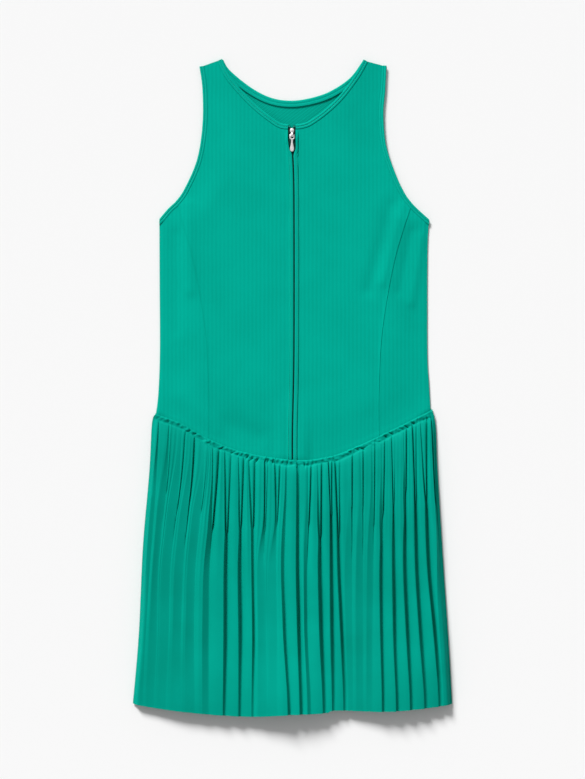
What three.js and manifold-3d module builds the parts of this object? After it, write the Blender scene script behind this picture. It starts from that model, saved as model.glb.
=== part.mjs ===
// A sleeveless zip-front dress with a pleated skirt, laid flat on its back.
// Units are millimetres. The back lies on z = 0, the neck is towards +Y and the front faces +Z.
import * as THREE from "three";
import { mergeVertices } from "three/addons/utils/BufferGeometryUtils.js";
import Module from "manifold-3d";

const wasm = await Module();
wasm.setup();

// Outlines are read from the picture in pixels, and brought to real size and to the middle here
const MM_PER_PX = 1.32;
const MID_PX = 292.57;
const MID_PY = 387.36;

// Cloth, bands and the way the front lies over the back
const CLOTH = 1.1;
const BAND_THICK = 1.6;
const BACK_BAND_THICK = 1.2;
const SEAM_GAP = 0.35;
const WAIST_GAP = 0.45;
const FRONT_LOW = 1.5;
const FRONT_RISE = 2.6;
const RISE_WIDTH = 55;
const NECK_BAND = 6.6;
const BACK_NECK_BAND = 8.6;
const ARM_BAND = 6.2;
const ARMPIT_SLANT = 1.25;

// Skirt
const SKIRT_BASE = 4.0;
const BASE_RUN = 0.12;
const BACK_FOLD_HEIGHT = 2.0;
const BACK_LAND = 0.3;
const SKIRT_EDGE_WIDTH = 7;
const BACK_FLAT_EDGE = 6;
const BACK_HEM_SHORT = 2;
const VALLEY_PX = 2.2;
const ROWS_FRONT = [0, 0.02, 0.045, 0.08, 0.13, 0.2, 0.28, 0.37, 0.48, 0.6, 0.73, 0.87, 1];
const ROWS_BACK = [0, 0.11, 0.5, 1];

// Steps along the edges of the bodice panels
const NECK_STEPS = 12;
const ZIP_STEPS = 14;
const ARM_UPPER_STEPS = 12;
const ARM_LOWER_STEPS = 4;
const PRINCESS_STEPS = 14;
const PANEL_COLS = 9;
const FINE_STEPS = 40;

// Zip
const TAPE_LOW = 2.8;
const TAPE_THICK = 1.0;
const TAPE_WIDTH = 12;
const TAPE_APART = 1.7;
const TAPE_CLOSED = 0.25;
const SLIDER_X = -0.7;
const PIVOT_Y = 332.3;
const PIVOT_Z = 6.2;
const SLIDER_LOW = 1.6;
const SLIDER_PLATE = 0.8;
const SLIDER_TOP = 5.2;
const BRIDGE_WIDTH = 2.4;
const CROWN_HEIGHT = 1.9;
const TAB_THICK = 1.4;
const EYE_WIDTH = 6.6;
const STOP_SIZE = [2, 1.5, 2];
const STOP_OUT = 3.1;

const CLOTH_COLOUR = 0x08a892;
const INSIDE_COLOUR = 0x079782;
const SKIRT_COLOUR = 0x06a08c;
const METAL_COLOUR = 0xc9ccd0;

// Outlines in picture pixels: the neck and sides run down, the waist and hem run left to right.
// A smooth curve passes through each list.
const OUTLINE_PX = {
  neckLeft: [[222, 59.3], [230, 76], [245, 94], [260, 108.5], [275, 120], [282, 123.8], [288, 124.5]],
  neckRight: [
    [363.5, 59.8], [355, 75], [340, 95], [325, 109.5], [310, 120.5], [302, 123.8], [295.5, 124.5],
  ],
  neckBack: [
    [223, 59.5], [230, 70.5], [250, 87], [270, 97.5], [290, 100.8], [310, 98.3], [330, 91.5],
    [350, 78], [363.5, 59.8],
  ],
  armUpperLeft: [[199.5, 66.8], [202.5, 90], [202.5, 125], [197, 160], [184, 190], [175, 202.5]],
  armLowerLeft: [[175, 202.5], [168, 209], [159.5, 219]],
  armUpperRight: [
    [386.5, 66], [385.3, 90], [383.5, 115], [386, 145], [395, 173], [405, 194], [413.5, 205.2],
  ],
  armLowerRight: [[413.5, 205.2], [420, 211.5], [429, 219.5]],
  sideLeft: [[159.5, 219], [159.7, 280], [160, 350], [158.5, 392], [156, 413.5]],
  sideRight: [[429, 219.5], [427.3, 255], [427.2, 350], [429, 385], [430.5, 410.5]],
  skirtLeft: [[155.5, 414.2], [152, 424], [149.5, 470], [143, 545], [139, 630], [133, 700.5]],
  skirtRight: [[431, 410.8], [435.5, 425], [437.5, 470], [443, 560], [449, 650], [452, 703.5]],
  waist: [
    [155.5, 414], [183, 424], [207, 438], [245, 452.5], [295, 460], [330, 456.5], [360, 445],
    [400, 426], [431, 410.5],
  ],
  hem: [
    [133, 700.5], [137, 704.2], [184, 711], [245, 715.5], [290, 713.5], [325, 712], [336, 709.7],
    [385, 710.5], [424, 707.5], [452, 703.5],
  ],
  princessRight: [[403, 230], [394, 262], [385, 310], [380.5, 350], [378.7, 400], [379, 436.4]],
  zip: [[291.8, 125.8], [291.8, 140], [292.7, 154], [294, 200], [294, 350], [292.5, 430], [292.5, 458.6]],
};

// The left princess seam mirrors the right one about this line
const SEAM_MIRROR_PX = 294;

// Half the space between the two front edges at heights of the picture: they part at the slider
const ZIP_SPACE = [
  { py: 139, half: 3.75 }, { py: 147, half: 1.9 }, { py: 154, half: 0.7 }, { py: 200, half: 0.7 },
  { py: 270, half: 0.7 }, { py: 350, half: 0.7 }, { py: 400, half: 0.7 }, { py: 459, half: 0.7 },
];

// One row for each valley of the skirt front, left to right. Each x is in picture pixels at the
// height named; split is the width of the double valley near the waist; depths run from 0 to 1.
const FOLD_HEIGHTS_PY = [480, 570, 635, 700];
const VALLEY_COLUMNS = ["x480", "x570", "x635", "x700", "split", "deepTop", "deepMid", "deepHem"];
const VALLEYS = [
  [157, 150, 146, 143, 0, 0.5, 0.35, 0.35],
  [169.5, 158, 157, 154, 0, 0.6, 0.4, 0.4],
  [181, 170, 169, 166, 3, 0.7, 0.4, 0.35],
  [193, 183, 181, 180, 3, 0.9, 0.5, 0.35],
  [205, 195, 194, 195, 3, 0.8, 0.55, 0.5],
  [218, 209.5, 209, 209, 3, 0.8, 0.7, 0.6],
  [228.5, 226, 226, 225.5, 5.5, 0.9, 0.9, 0.9],
  [242, 240, 241, 241, 6, 0.95, 0.9, 0.9],
  [253.3, 253.5, 254.5, 254, 5.5, 0.9, 0.75, 0.7],
  [266.5, 264, 266, 267, 3, 0.8, 0.4, 0.3],
  [277.5, 276, 277, 277, 5, 0.8, 0.4, 0.3],
  [286.5, 284, 285, 290, 0, 0.6, 0.6, 0.9],
  [298.5, 298, 299.5, 302, 0, 1, 1, 1],
  [309, 307, 307.5, 311, 4, 0.7, 0.6, 0.6],
  [319.5, 320, 321.5, 325, 4.5, 1, 1, 1],
  [330, 332, 332.5, 334.5, 4, 1, 1, 0.9],
  [340, 339.5, 342.5, 346, 4.5, 0.9, 0.9, 0.9],
  [352.5, 352, 352, 353, 4, 0.7, 0.4, 0.3],
  [363, 363, 363, 363, 4, 0.7, 0.35, 0.3],
  [374, 373, 372, 372, 4, 0.7, 0.4, 0.35],
  [384, 381, 382, 384, 4, 0.8, 0.7, 0.7],
  [395, 394, 395, 398, 4, 0.85, 0.8, 0.8],
  [405, 405, 408, 412, 4.5, 0.9, 0.9, 0.9],
  [415.5, 417, 421, 426.5, 4.5, 0.9, 0.9, 0.9],
  [426, 429, 435.5, 441, 4, 1, 1, 1],
];

// How high the hem's folds stand off the surface, at places across the hem
const HEM_LIFT = [
  { px: 133, lift: 6 }, { px: 160, lift: 8 }, { px: 190, lift: 12 }, { px: 215, lift: 13 },
  { px: 260, lift: 14 }, { px: 290, lift: 18 }, { px: 320, lift: 17 }, { px: 335, lift: 14 },
  { px: 355, lift: 9 }, { px: 375, lift: 12 }, { px: 400, lift: 15 }, { px: 430, lift: 14 },
  { px: 452, lift: 9 },
];

// Soft ridges and troughs of the front bodice, from one picture point to another
const CREASES = [
  { from: [391, 206], to: [369, 290], wide: 9, high: -1.2 },
  { from: [404, 206], to: [383, 282], wide: 7, high: 1 },
  { from: [411, 232], to: [399, 292], wide: 6, high: -0.7 },
  { from: [423, 238], to: [411, 302], wide: 7, high: 1 },
  { from: [176, 235], to: [177, 330], wide: 8, high: -0.7 },
  { from: [188, 205], to: [190, 290], wide: 8, high: 1 },
  { from: [182, 396], to: [216, 427], wide: 13, high: 0.9 },
  { from: [228, 424], to: [258, 436], wide: 14, high: -1.1 },
];

// Plain helpers
const toX = (px) => (px - MID_PX) * MM_PER_PX;
const toY = (py) => (MID_PY - py) * MM_PER_PX;
const at = (x, y) => new THREE.Vector2(x, y);
const line = (pixels) => pixels.map(([px, py]) => at(toX(px), toY(py)));
const last = (points) => points[points.length - 1];
const mix = THREE.MathUtils.lerp;
const smooth = (t) => THREE.MathUtils.smoothstep(t, 0, 1);
const curve = (name, steps) => new THREE.SplineCurve(line(OUTLINE_PX[name])).getSpacedPoints(steps);

// Value at s in a list of [s, value] pairs that rises in s
function sample(pairs, s) {
  if (s <= pairs[0][0]) return pairs[0][1];
  if (s >= last(pairs)[0]) return last(pairs)[1];
  const i = pairs.findIndex((pair) => pair[0] > s);
  const [s0, v0] = pairs[i - 1];
  const [s1, v1] = pairs[i];
  return mix(v0, v1, (s - s0) / (s1 - s0));
}

// Pairs to sample: x of a line that runs down, or y of one that runs across
const pairsByY = (points) => points.map((p) => [-p.y, p.x]);
const pairsByX = (points) => points.map((p) => [p.x, p.y]);

// The same line in equal steps, so that the pieces either side of a seam share their corners
function even(points, steps) {
  const ends = [0];
  points.slice(1).forEach((p, i) => ends.push(ends[i] + p.distanceTo(points[i])));
  const xs = points.map((p, i) => [ends[i], p.x]);
  const ys = points.map((p, i) => [ends[i], p.y]);
  return Array.from({ length: steps + 1 }, (_, i) => {
    const s = (i / steps) * last(ends);
    return at(sample(xs, s), sample(ys, s));
  });
}

// The line moved sideways, to the left of its direction when distance is positive
function moved(points, distance) {
  return points.map((p, i) => {
    const before = points[Math.max(i - 1, 0)];
    const after = points[Math.min(i + 1, points.length - 1)];
    const way = after.clone().sub(before).normalize();
    return at(p.x - way.y * distance, p.y + way.x * distance);
  });
}

// A closed wall from a lattice of points on its underside, thickened along its normals
function wall(under, thick) {
  const rows = under.length;
  const cols = under[0].length;
  const top = under.map((row, r) =>
    row.map((p, c) => {
      const across = under[r][Math.min(c + 1, cols - 1)].clone().sub(under[r][Math.max(c - 1, 0)]);
      const down = under[Math.min(r + 1, rows - 1)][c].clone().sub(under[Math.max(r - 1, 0)][c]);
      const normal = across.cross(down).normalize();
      if (normal.z < 0) normal.negate();
      return p.clone().addScaledVector(normal, thick);
    }),
  );
  const position = [...under.flat(), ...top.flat()].flatMap((p) => p.toArray());
  const low = (r, c) => r * cols + c;
  const high = (r, c) => rows * cols + r * cols + c;
  const index = [];
  const quad = (a, b, c, d) => index.push(a, b, c, a, c, d);
  for (let r = 0; r < rows - 1; r++) {
    for (let c = 0; c < cols - 1; c++) {
      quad(high(r, c), high(r + 1, c), high(r + 1, c + 1), high(r, c + 1));
      quad(low(r, c), low(r, c + 1), low(r + 1, c + 1), low(r + 1, c));
    }
    quad(low(r, 0), low(r + 1, 0), high(r + 1, 0), high(r, 0));
    quad(low(r + 1, cols - 1), low(r, cols - 1), high(r, cols - 1), high(r + 1, cols - 1));
  }
  for (let c = 0; c < cols - 1; c++) {
    quad(low(0, c + 1), low(0, c), high(0, c), high(0, c + 1));
    quad(low(rows - 1, c), low(rows - 1, c + 1), high(rows - 1, c + 1), high(rows - 1, c));
  }
  const across = last(under[0]).clone().sub(under[0][0]);
  const down = last(under)[0].clone().sub(under[0][0]);
  if (across.cross(down).z > 0) index.reverse();
  const geometry = new THREE.BufferGeometry();
  geometry.setAttribute("position", new THREE.Float32BufferAttribute(position, 3));
  geometry.setIndex(index);
  geometry.computeVertexNormals();
  return geometry;
}

// A flat plate: an outline drawn up from one height to another
function plate(points, low, high) {
  const options = { depth: high - low, bevelEnabled: false };
  return new THREE.ExtrudeGeometry(new THREE.Shape(points), options).translate(0, 0, low);
}

// Several closed pieces joined into one
function joined(pieces) {
  const solids = pieces.map((piece) => {
    const bare = piece.clone();
    bare.deleteAttribute("normal");
    bare.deleteAttribute("uv");
    const merged = mergeVertices(bare, 1e-4);
    const vertProperties = merged.attributes.position.array;
    const triVerts = new Uint32Array(merged.index.array);
    return new wasm.Manifold(new wasm.Mesh({ numProp: 3, vertProperties, triVerts }));
  });
  const mesh = solids.reduce((a, b) => a.add(b)).getMesh();
  const geometry = new THREE.BufferGeometry();
  geometry.setAttribute("position", new THREE.Float32BufferAttribute(mesh.vertProperties, 3));
  geometry.setIndex(new THREE.BufferAttribute(mesh.triVerts, 1));
  geometry.computeVertexNormals();
  return geometry;
}

// Outlines in millimetres
const neckLeft = curve("neckLeft", NECK_STEPS);
const neckRight = curve("neckRight", NECK_STEPS);
const neckBack = curve("neckBack", 2 * NECK_STEPS);
const armOf = (side) => [
  ...curve("armUpper" + side, ARM_UPPER_STEPS), ...curve("armLower" + side, ARM_LOWER_STEPS).slice(1),
];
const armLeft = armOf("Left");
const armRight = armOf("Right");
const sideLeft = curve("sideLeft", FINE_STEPS);
const sideRight = curve("sideRight", FINE_STEPS);
const skirtLeft = curve("skirtLeft", FINE_STEPS);
const skirtRight = curve("skirtRight", FINE_STEPS);
const waist = curve("waist", FINE_STEPS);
const edgeLeft = pairsByY([...armLeft, ...sideLeft.slice(1), ...skirtLeft.slice(1)]);
const edgeRight = pairsByY([...armRight, ...sideRight.slice(1), ...skirtRight.slice(1)]);
const waistAt = pairsByX(waist);
const hemAt = pairsByX(curve("hem", 2 * FINE_STEPS));

// Distance in from the nearer side of the dress
const inFromSide = (x, y) => Math.min(x - sample(edgeLeft, -y), sample(edgeRight, -y) - x);

const creaseSpans = CREASES.map(({ from, to, wide, high }) => {
  const ends = line([from, to]).map((p) => new THREE.Vector3(p.x, p.y, 0));
  return { span: new THREE.Line3(...ends), wide, high };
});

function creaseAt(x, y) {
  const point = new THREE.Vector3(x, y, 0);
  const nearest = new THREE.Vector3();
  return creaseSpans.reduce((sum, { span, wide, high }) => {
    const side = span.closestPointToPoint(point, true, nearest).distanceTo(point) / wide;
    return sum + high * Math.exp(-side * side);
  }, 0);
}

// Underside of the front bodice: low at the sides, raised over the zip in the middle
function frontUnder(x, y) {
  const inside = inFromSide(x, y);
  return FRONT_LOW + FRONT_RISE * smooth(inside / RISE_WIDTH) + creaseAt(x, y) * smooth(inside / 12);
}

const onFront = (x, y) => new THREE.Vector3(x, y, frontUnder(x, y));
const onFloor = (x, y) => new THREE.Vector3(x, y, 0);

// A panel between four lines: top and bottom run left to right, left and right run down
function panel(top, bottom, left, right) {
  const cols = top.length - 1;
  const rows = left.length - 1;
  const inside = (k, r, c) => {
    const u = c / cols;
    const v = r / rows;
    const corners = mix(mix(top[0][k], top[cols][k], u), mix(bottom[0][k], bottom[cols][k], u), v);
    return mix(top[c][k], bottom[c][k], v) + mix(left[r][k], right[r][k], u) - corners;
  };
  return wall(left.map((_, r) => top.map((__, c) => onFront(inside("x", r, c), inside("y", r, c)))), CLOTH);
}

// Part of the waist line between two x, in equal steps
function waistPart(x0, x1, steps) {
  const inner = waist.filter((p) => p.x > x0 + 1 && p.x < x1 - 1);
  return even([at(x0, sample(waistAt, x0)), ...inner, at(x1, sample(waistAt, x1))], steps);
}

// A band: a strip between its outer edge and its inner edge
function band(outer, inner, thick, place) {
  return wall(outer.map((p, i) => [place(p.x, p.y), place(inner[i].x, inner[i].y)]), thick);
}

// An armhole's edge moved in, with its lower end on the side of the dress
function armMoved(arm, distance) {
  const inner = moved(arm, distance);
  last(inner).set(last(arm).x, last(arm).y - Math.abs(distance) * ARMPIT_SLANT);
  return inner;
}

const cloth = (color) => new THREE.MeshStandardMaterial({ color, roughness: 0.85, metalness: 0 });
const metal = () => new THREE.MeshStandardMaterial({ color: METAL_COLOUR, roughness: 0.25, metalness: 1 });
const dress = new THREE.Group();

function add(name, geometry, material, parent = dress) {
  const mesh = new THREE.Mesh(geometry, material);
  mesh.name = name;
  parent.add(mesh);
}

// Seam lines of the front bodice
const neckSeamLeft = moved(neckLeft, -NECK_BAND - SEAM_GAP);
const neckSeamRight = moved(neckRight, NECK_BAND + SEAM_GAP);
const armSeamLeft = armMoved(armLeft, ARM_BAND + SEAM_GAP);
const armSeamRight = armMoved(armRight, -ARM_BAND - SEAM_GAP);
const upperLeft = armSeamLeft.slice(0, ARM_UPPER_STEPS + 1);
const lowerLeft = armSeamLeft.slice(ARM_UPPER_STEPS);
const upperRight = armSeamRight.slice(0, ARM_UPPER_STEPS + 1);
const lowerRight = armSeamRight.slice(ARM_UPPER_STEPS);

// A line that starts at a point and ends on the waist
function toWaist(start, pixels, steps) {
  const points = line(pixels);
  last(points).y = sample(waistAt, last(points).x);
  return even(new THREE.SplineCurve([start, ...points]).getSpacedPoints(FINE_STEPS), steps);
}
const princessLeft = OUTLINE_PX.princessRight.map(([px, py]) => [2 * SEAM_MIRROR_PX - px, py]);
const seamLeft = toWaist(last(upperLeft), princessLeft, PRINCESS_STEPS);
const seamRight = toWaist(last(upperRight), OUTLINE_PX.princessRight, PRINCESS_STEPS);

// The front edge beside the zip on one side, from the neck seam to the waist
const zipAt = pairsByY(curve("zip", FINE_STEPS));
function zipEdge(start, side) {
  const points = ZIP_SPACE.map(({ py, half }) => at(sample(zipAt, -toY(py)) + side * half * MM_PER_PX, toY(py)));
  last(points).y = sample(waistAt, last(points).x);
  return even([start, ...points], ZIP_STEPS);
}

// The line beside a seam, a distance along X away from it
const beside = (points, distance) => points.map((p) => at(p.x + distance, p.y));
const half = SEAM_GAP * 0.6;
const flank = (side, start) => even([start, ...side.filter((p) => p.y < start.y - 2)], PRINCESS_STEPS);
const flankLeft = flank(sideLeft, last(lowerLeft));
const flankRight = flank(sideRight, last(lowerRight));

const centreInLeft = [...neckSeamLeft, ...zipEdge(last(neckSeamLeft), -1).slice(1)];
const centreInRight = [...neckSeamRight, ...zipEdge(last(neckSeamRight), 1).slice(1)];
const centreOutLeft = [...upperLeft.slice(0, -1), ...beside(seamLeft, half)];
const centreOutRight = [...upperRight.slice(0, -1), ...beside(seamRight, -half)];
const sideInLeft = beside(seamLeft, -half);
const sideInRight = beside(seamRight, half);

// Front bodice: four panels, cut at the princess seams and the zip
function centrePanel(left, right) {
  const top = even([left[0], right[0]], PANEL_COLS);
  return panel(top, waistPart(last(left).x, last(right).x, PANEL_COLS), left, right);
}
function sidePanel(top, left, right) {
  return panel(top, waistPart(last(left).x, last(right).x, ARM_LOWER_STEPS), left, right);
}
add("front_centre_left", centrePanel(centreOutLeft, centreInLeft), cloth(CLOTH_COLOUR));
add("front_centre_right", centrePanel(centreInRight, centreOutRight), cloth(CLOTH_COLOUR));
const topLeft = [...lowerLeft.slice(1).reverse(), sideInLeft[0]];
add("front_side_left", sidePanel(topLeft, flankLeft, sideInLeft), cloth(CLOTH_COLOUR));
const topRight = [sideInRight[0], ...lowerRight.slice(1)];
add("front_side_right", sidePanel(topRight, sideInRight, flankRight), cloth(CLOTH_COLOUR));

// Bands along the neck and the armholes, front
const frontBand = (outer, inner) => band(outer, inner, BAND_THICK, onFront);
const armInLeft = armMoved(armLeft, ARM_BAND);
const armInRight = armMoved(armRight, -ARM_BAND);
add("front_neck_band_left", frontBand(neckLeft, moved(neckLeft, -NECK_BAND)), cloth(CLOTH_COLOUR));
add("front_neck_band_right", frontBand(neckRight, moved(neckRight, NECK_BAND)), cloth(CLOTH_COLOUR));
add("front_armhole_band_left", frontBand(armLeft, armInLeft), cloth(CLOTH_COLOUR));
add("front_armhole_band_right", frontBand(armRight, armInRight), cloth(CLOTH_COLOUR));

// Back bodice and its bands lie flat on the surface
const backBand = (outer, inner) => band(outer, inner, BACK_BAND_THICK, onFloor);
const backOutline = [
  ...moved(neckBack, -BACK_NECK_BAND - SEAM_GAP), ...armSeamRight.slice(0, -1), ...flankRight,
  ...waist.slice(1, -1).reverse(), ...[...flankLeft].reverse(), ...armSeamLeft.slice(0, -1).reverse(),
];
add("back_bodice", plate(backOutline, 0, CLOTH), cloth(INSIDE_COLOUR));
add("back_neck_band", backBand(neckBack, moved(neckBack, -BACK_NECK_BAND)), cloth(INSIDE_COLOUR));
add("back_armhole_band_left", backBand(armLeft, armInLeft), cloth(INSIDE_COLOUR));
add("back_armhole_band_right", backBand(armRight, armInRight), cloth(INSIDE_COLOUR));

// Skirt: each line of the cloth runs from the waist, t = 0, to the hem, t = 1
const toEntry = (keys, row) => Object.fromEntries(keys.map((key, i) => [key, row[i]]));
const valleys = VALLEYS.map((row) => toEntry(VALLEY_COLUMNS, row));
const liftAt = HEM_LIFT.map(({ px, lift }) => [toX(px), lift]);
const SPLIT_FADE = [[0, 1], [0.12, 1], [0.3, 0]];

// A point of a line at t, with how far it lies below the crests: 0 on a crest, 1 in a deep valley
function skirtSpot(x, t, deep) {
  return { x, y: mix(sample(waistAt, x) - WAIST_GAP, sample(hemAt, x), t), deep };
}
function edgeLine(points) {
  const pairs = pairsByY(points);
  return (t) => {
    const y = mix(points[0].y - WAIST_GAP, last(points).y, t);
    return { x: sample(pairs, -y), y, deep: 1 };
  };
}

// The middle of a valley, followed through its x at the four heights
function valleyLine(valley) {
  const xs = [valley.x480, valley.x570, valley.x635, valley.x700].map(toX);
  const heights = FOLD_HEIGHTS_PY.map((py) => -toY(py));
  const slope = (xs[1] - xs[0]) / (heights[1] - heights[0]);
  const topX = xs[0] + slope * 0.5 * (-sample(waistAt, xs[0]) - heights[0]);
  const topY = sample(waistAt, topX);
  const endY = sample(hemAt, last(xs));
  const pairs = [[-topY, topX], ...xs.map((x, i) => [heights[i], x])];
  const deeps = [[0, valley.deepTop], [BASE_RUN, valley.deepTop], [0.5, valley.deepMid], [1, valley.deepHem]];
  return (t) => skirtSpot(sample(pairs, -mix(topY, endY, t)), t, sample(deeps, t));
}

// A valley is three lines: near the waist its middle rises between two narrow troughs
function valleyLines(valley) {
  const centre = valleyLine(valley);
  const double = (t) => (valley.split > 0 ? sample(SPLIT_FADE, t) : 0);
  const width = (t) => Math.max(valley.split * sample(SPLIT_FADE, t), VALLEY_PX) * MM_PER_PX;
  const side = (way) => (t) => {
    const { x, deep } = centre(t);
    return skirtSpot(x + (way * width(t)) / 2, t, mix(deep * 0.85, deep, double(t)));
  };
  const middle = (t) => {
    const { x, deep } = centre(t);
    return skirtSpot(x, t, deep * (1 - 0.6 * double(t)));
  };
  return { centre, lines: [side(-1), middle, side(1)] };
}
const between = (a, b, u, deep) => (t) => {
  const [p, q] = [a(t), b(t)];
  const spot = skirtSpot(mix(p.x, q.x, u), t, deep);
  return { ...spot, y: mix(spot.y, mix(p.y, q.y, u), 0.5) };
};
const leftEdge = edgeLine(skirtLeft);
const rightEdge = edgeLine(skirtRight);
const folds = valleys.map(valleyLines);
// A pleat rises from its left valley to a fold near its right one
const PLEAT = [{ share: 0.24, deep: 0.38 }, { share: 0.58, deep: 0.12 }, { share: 0.84, deep: 0 }];
const pleat = (from, to) => PLEAT.map(({ share, deep }) => between(from, to, share, deep));
const frontLines = [leftEdge];
for (const { lines } of folds) frontLines.push(...pleat(last(frontLines), lines[0]), ...lines);
frontLines.push(...pleat(last(frontLines), rightEdge), rightEdge);

// Height of the crests above their base, and how far the base rises towards the hem
const CREST = [[0, 1.4], [0.045, 4], [0.11, 5], [0.3, 7], [0.7, 8]];
const crest = (x, t) => sample([...CREST, [1, sample(liftAt, x) * 0.45]], t);
const baseRise = (x, t) => sample(liftAt, x) * 0.5 * smooth((t - 0.6) / 0.4);

function frontPoint({ x, y, deep }, t) {
  const edge = smooth(inFromSide(x, y) / SKIRT_EDGE_WIDTH);
  const base = mix(frontUnder(x, y), SKIRT_BASE + baseRise(x, t), smooth(t / BASE_RUN));
  const z = base + (1 - deep) * crest(x, t);
  return new THREE.Vector3(x, y, FRONT_LOW + (z - FRONT_LOW) * edge);
}
const frontSkirt = ROWS_FRONT.map((t) => frontLines.map((spot) => frontPoint(spot(t), t)));
add("skirt_front", wall(frontSkirt, CLOTH), cloth(SKIRT_COLOUR));

// Skirt back: the same folds pressed on the surface, low creases between flat lands
const backLines = [leftEdge];
folds.forEach(({ centre }, i) => {
  const next = folds[i + 1]?.centre ?? rightEdge;
  backLines.push(between(centre, next, 0, 0));
  backLines.push(between(centre, next, BACK_LAND, 1), between(centre, next, 1 - BACK_LAND, 1));
});
backLines.push(rightEdge);

function backPoint({ x, y, deep }, t) {
  const edge = smooth((inFromSide(x, y) - BACK_FLAT_EDGE) / SKIRT_EDGE_WIDTH);
  const fold = (1 - deep) * BACK_FOLD_HEIGHT * edge * smooth(t / BASE_RUN);
  return new THREE.Vector3(x, y + BACK_HEM_SHORT * t, fold);
}
const backSkirt = ROWS_BACK.map((t) => backLines.map((spot) => backPoint(spot(t), t)));
add("skirt_back", wall(backSkirt, CLOTH), cloth(SKIRT_COLOUR));

// Zip tapes, one under each front edge, drawn apart above the slider's throat
function tape(side) {
  const rows = line(OUTLINE_PX.zip).map((p, i) => {
    const near = i < 2 ? TAPE_APART : TAPE_CLOSED;
    return [near, TAPE_WIDTH].map((out) => new THREE.Vector3(p.x + side * out, p.y, TAPE_LOW));
  });
  return wall(rows, TAPE_THICK);
}
add("zip_tape_left", tape(-1), cloth(INSIDE_COLOUR));
add("zip_tape_right", tape(1), cloth(INSIDE_COLOUR));

// Slider: two plates joined by a wedge, with a domed crown and a bridge for the tab.
// Its outlines are drawn from the tab's pivot, with y towards the neck.
const slider = new THREE.Group();
slider.position.set(SLIDER_X, PIVOT_Y, 0);
dress.add(slider);
const mirrorClosed = (points) => [
  ...points.map(([x, y]) => at(x, y)), ...[...points].reverse().map(([x, y]) => at(-x, y)),
];
const shield = mirrorClosed([[3.1, -2.6], [3.5, -1.6], [3.6, 3], [4.1, 6], [4.1, 8.6], [3.2, 9.7]]);
const wedge = mirrorClosed([[0.2, 3.2], [1.2, 6.2], [1.2, 9.2]]);
const bridgeSide = [
  [-2.4, 5], [-1.1, 5], [-1.1, 6.8], [-0.6, 7.3], [0.7, 7.3], [1.5, 6.6], [1.5, 5], [4.4, 5],
  [4.4, 6], [3.6, 6.9], [2.2, 7.9], [0.8, 8.5], [-0.8, 8.5], [-1.7, 8.2], [-2.4, 7.3],
].map(([y, z]) => at(y, z));
const bridge = plate(bridgeSide, -BRIDGE_WIDTH / 2, BRIDGE_WIDTH / 2);
bridge.rotateX(Math.PI / 2).rotateZ(Math.PI / 2);
const domeArc = [0, 18, 36, 54, 72].map((deg) => THREE.MathUtils.degToRad(deg));
const domeSide = domeArc.map((a) => at(Math.cos(a), CROWN_HEIGHT * Math.sin(a)));
const crown = new THREE.LatheGeometry([at(0, -0.4), at(1, -0.4), ...domeSide, at(0, CROWN_HEIGHT)], 18);
crown.rotateX(Math.PI / 2).scale(2.9, 3.2, 1).translate(0, 6.2, SLIDER_TOP);
const rail = (way) => new THREE.BoxGeometry(0.5, 6.2, 0.9).translate(way * 3.15, 0.9, SLIDER_TOP - 0.65);
add("zip_slider", joined([
  plate(shield, SLIDER_LOW, SLIDER_LOW + SLIDER_PLATE),
  plate(shield, SLIDER_TOP - SLIDER_PLATE, SLIDER_TOP),
  plate(wedge, SLIDER_LOW + 0.2, SLIDER_TOP - 0.2),
  rail(-1), rail(1), bridge, crown,
]), metal(), slider);

// Pull tab: an eye round the bridge, a neck and a teardrop, lying down over the zip
const tabPivot = new THREE.Group();
tabPivot.position.set(0, 0, PIVOT_Z);
slider.add(tabPivot);
const tabShape = new THREE.Shape(mirrorClosed([
  [0.6, -21.6], [1.7, -20.9], [2.5, -19.4], [2.65, -17.6], [2.3, -15.4], [1.7, -12.5],
  [1.25, -9.6], [1.3, -6.4], [1.9, -5.4], [2.9, -4.5], [3.3, -3.4], [3.3, 0],
]));
tabShape.holes.push(new THREE.Path(mirrorClosed([[0.9, -4], [1.75, -3.3], [1.75, -0.4]])));
const tabPlate = new THREE.ExtrudeGeometry(tabShape, { depth: TAB_THICK, bevelEnabled: false });
tabPlate.translate(0, 0, -TAB_THICK / 2);
const tabBar = new THREE.CylinderGeometry(TAB_THICK / 2, TAB_THICK / 2, EYE_WIDTH, 16).rotateZ(Math.PI / 2);
add("zip_pull", joined([tabPlate, tabBar]), metal(), tabPivot);

// Top stops, one on each tape just above the slider
const STOP_PY = 127;
for (const [name, side] of [["zip_stop_left", -1], ["zip_stop_right", 1]]) {
  const z = TAPE_LOW + TAPE_THICK + 0.3 + STOP_SIZE[2] / 2;
  const x = toX(OUTLINE_PX.zip[0][0]) + side * STOP_OUT;
  add(name, new THREE.BoxGeometry(...STOP_SIZE).translate(x, toY(STOP_PY), z), metal());
}

export default dress;
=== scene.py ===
# %% [markdown]
# # A zip-front dress laid flat
# The dress is a knitted bodice, a pleated woven skirt and a short metal slider on a long zip.
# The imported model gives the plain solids. Here each cloth piece is made again as a fine thin shell
# on the same outlines, so the folds, seams and threads can be seen from close by.

# %% Load the frame
import math

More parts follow.
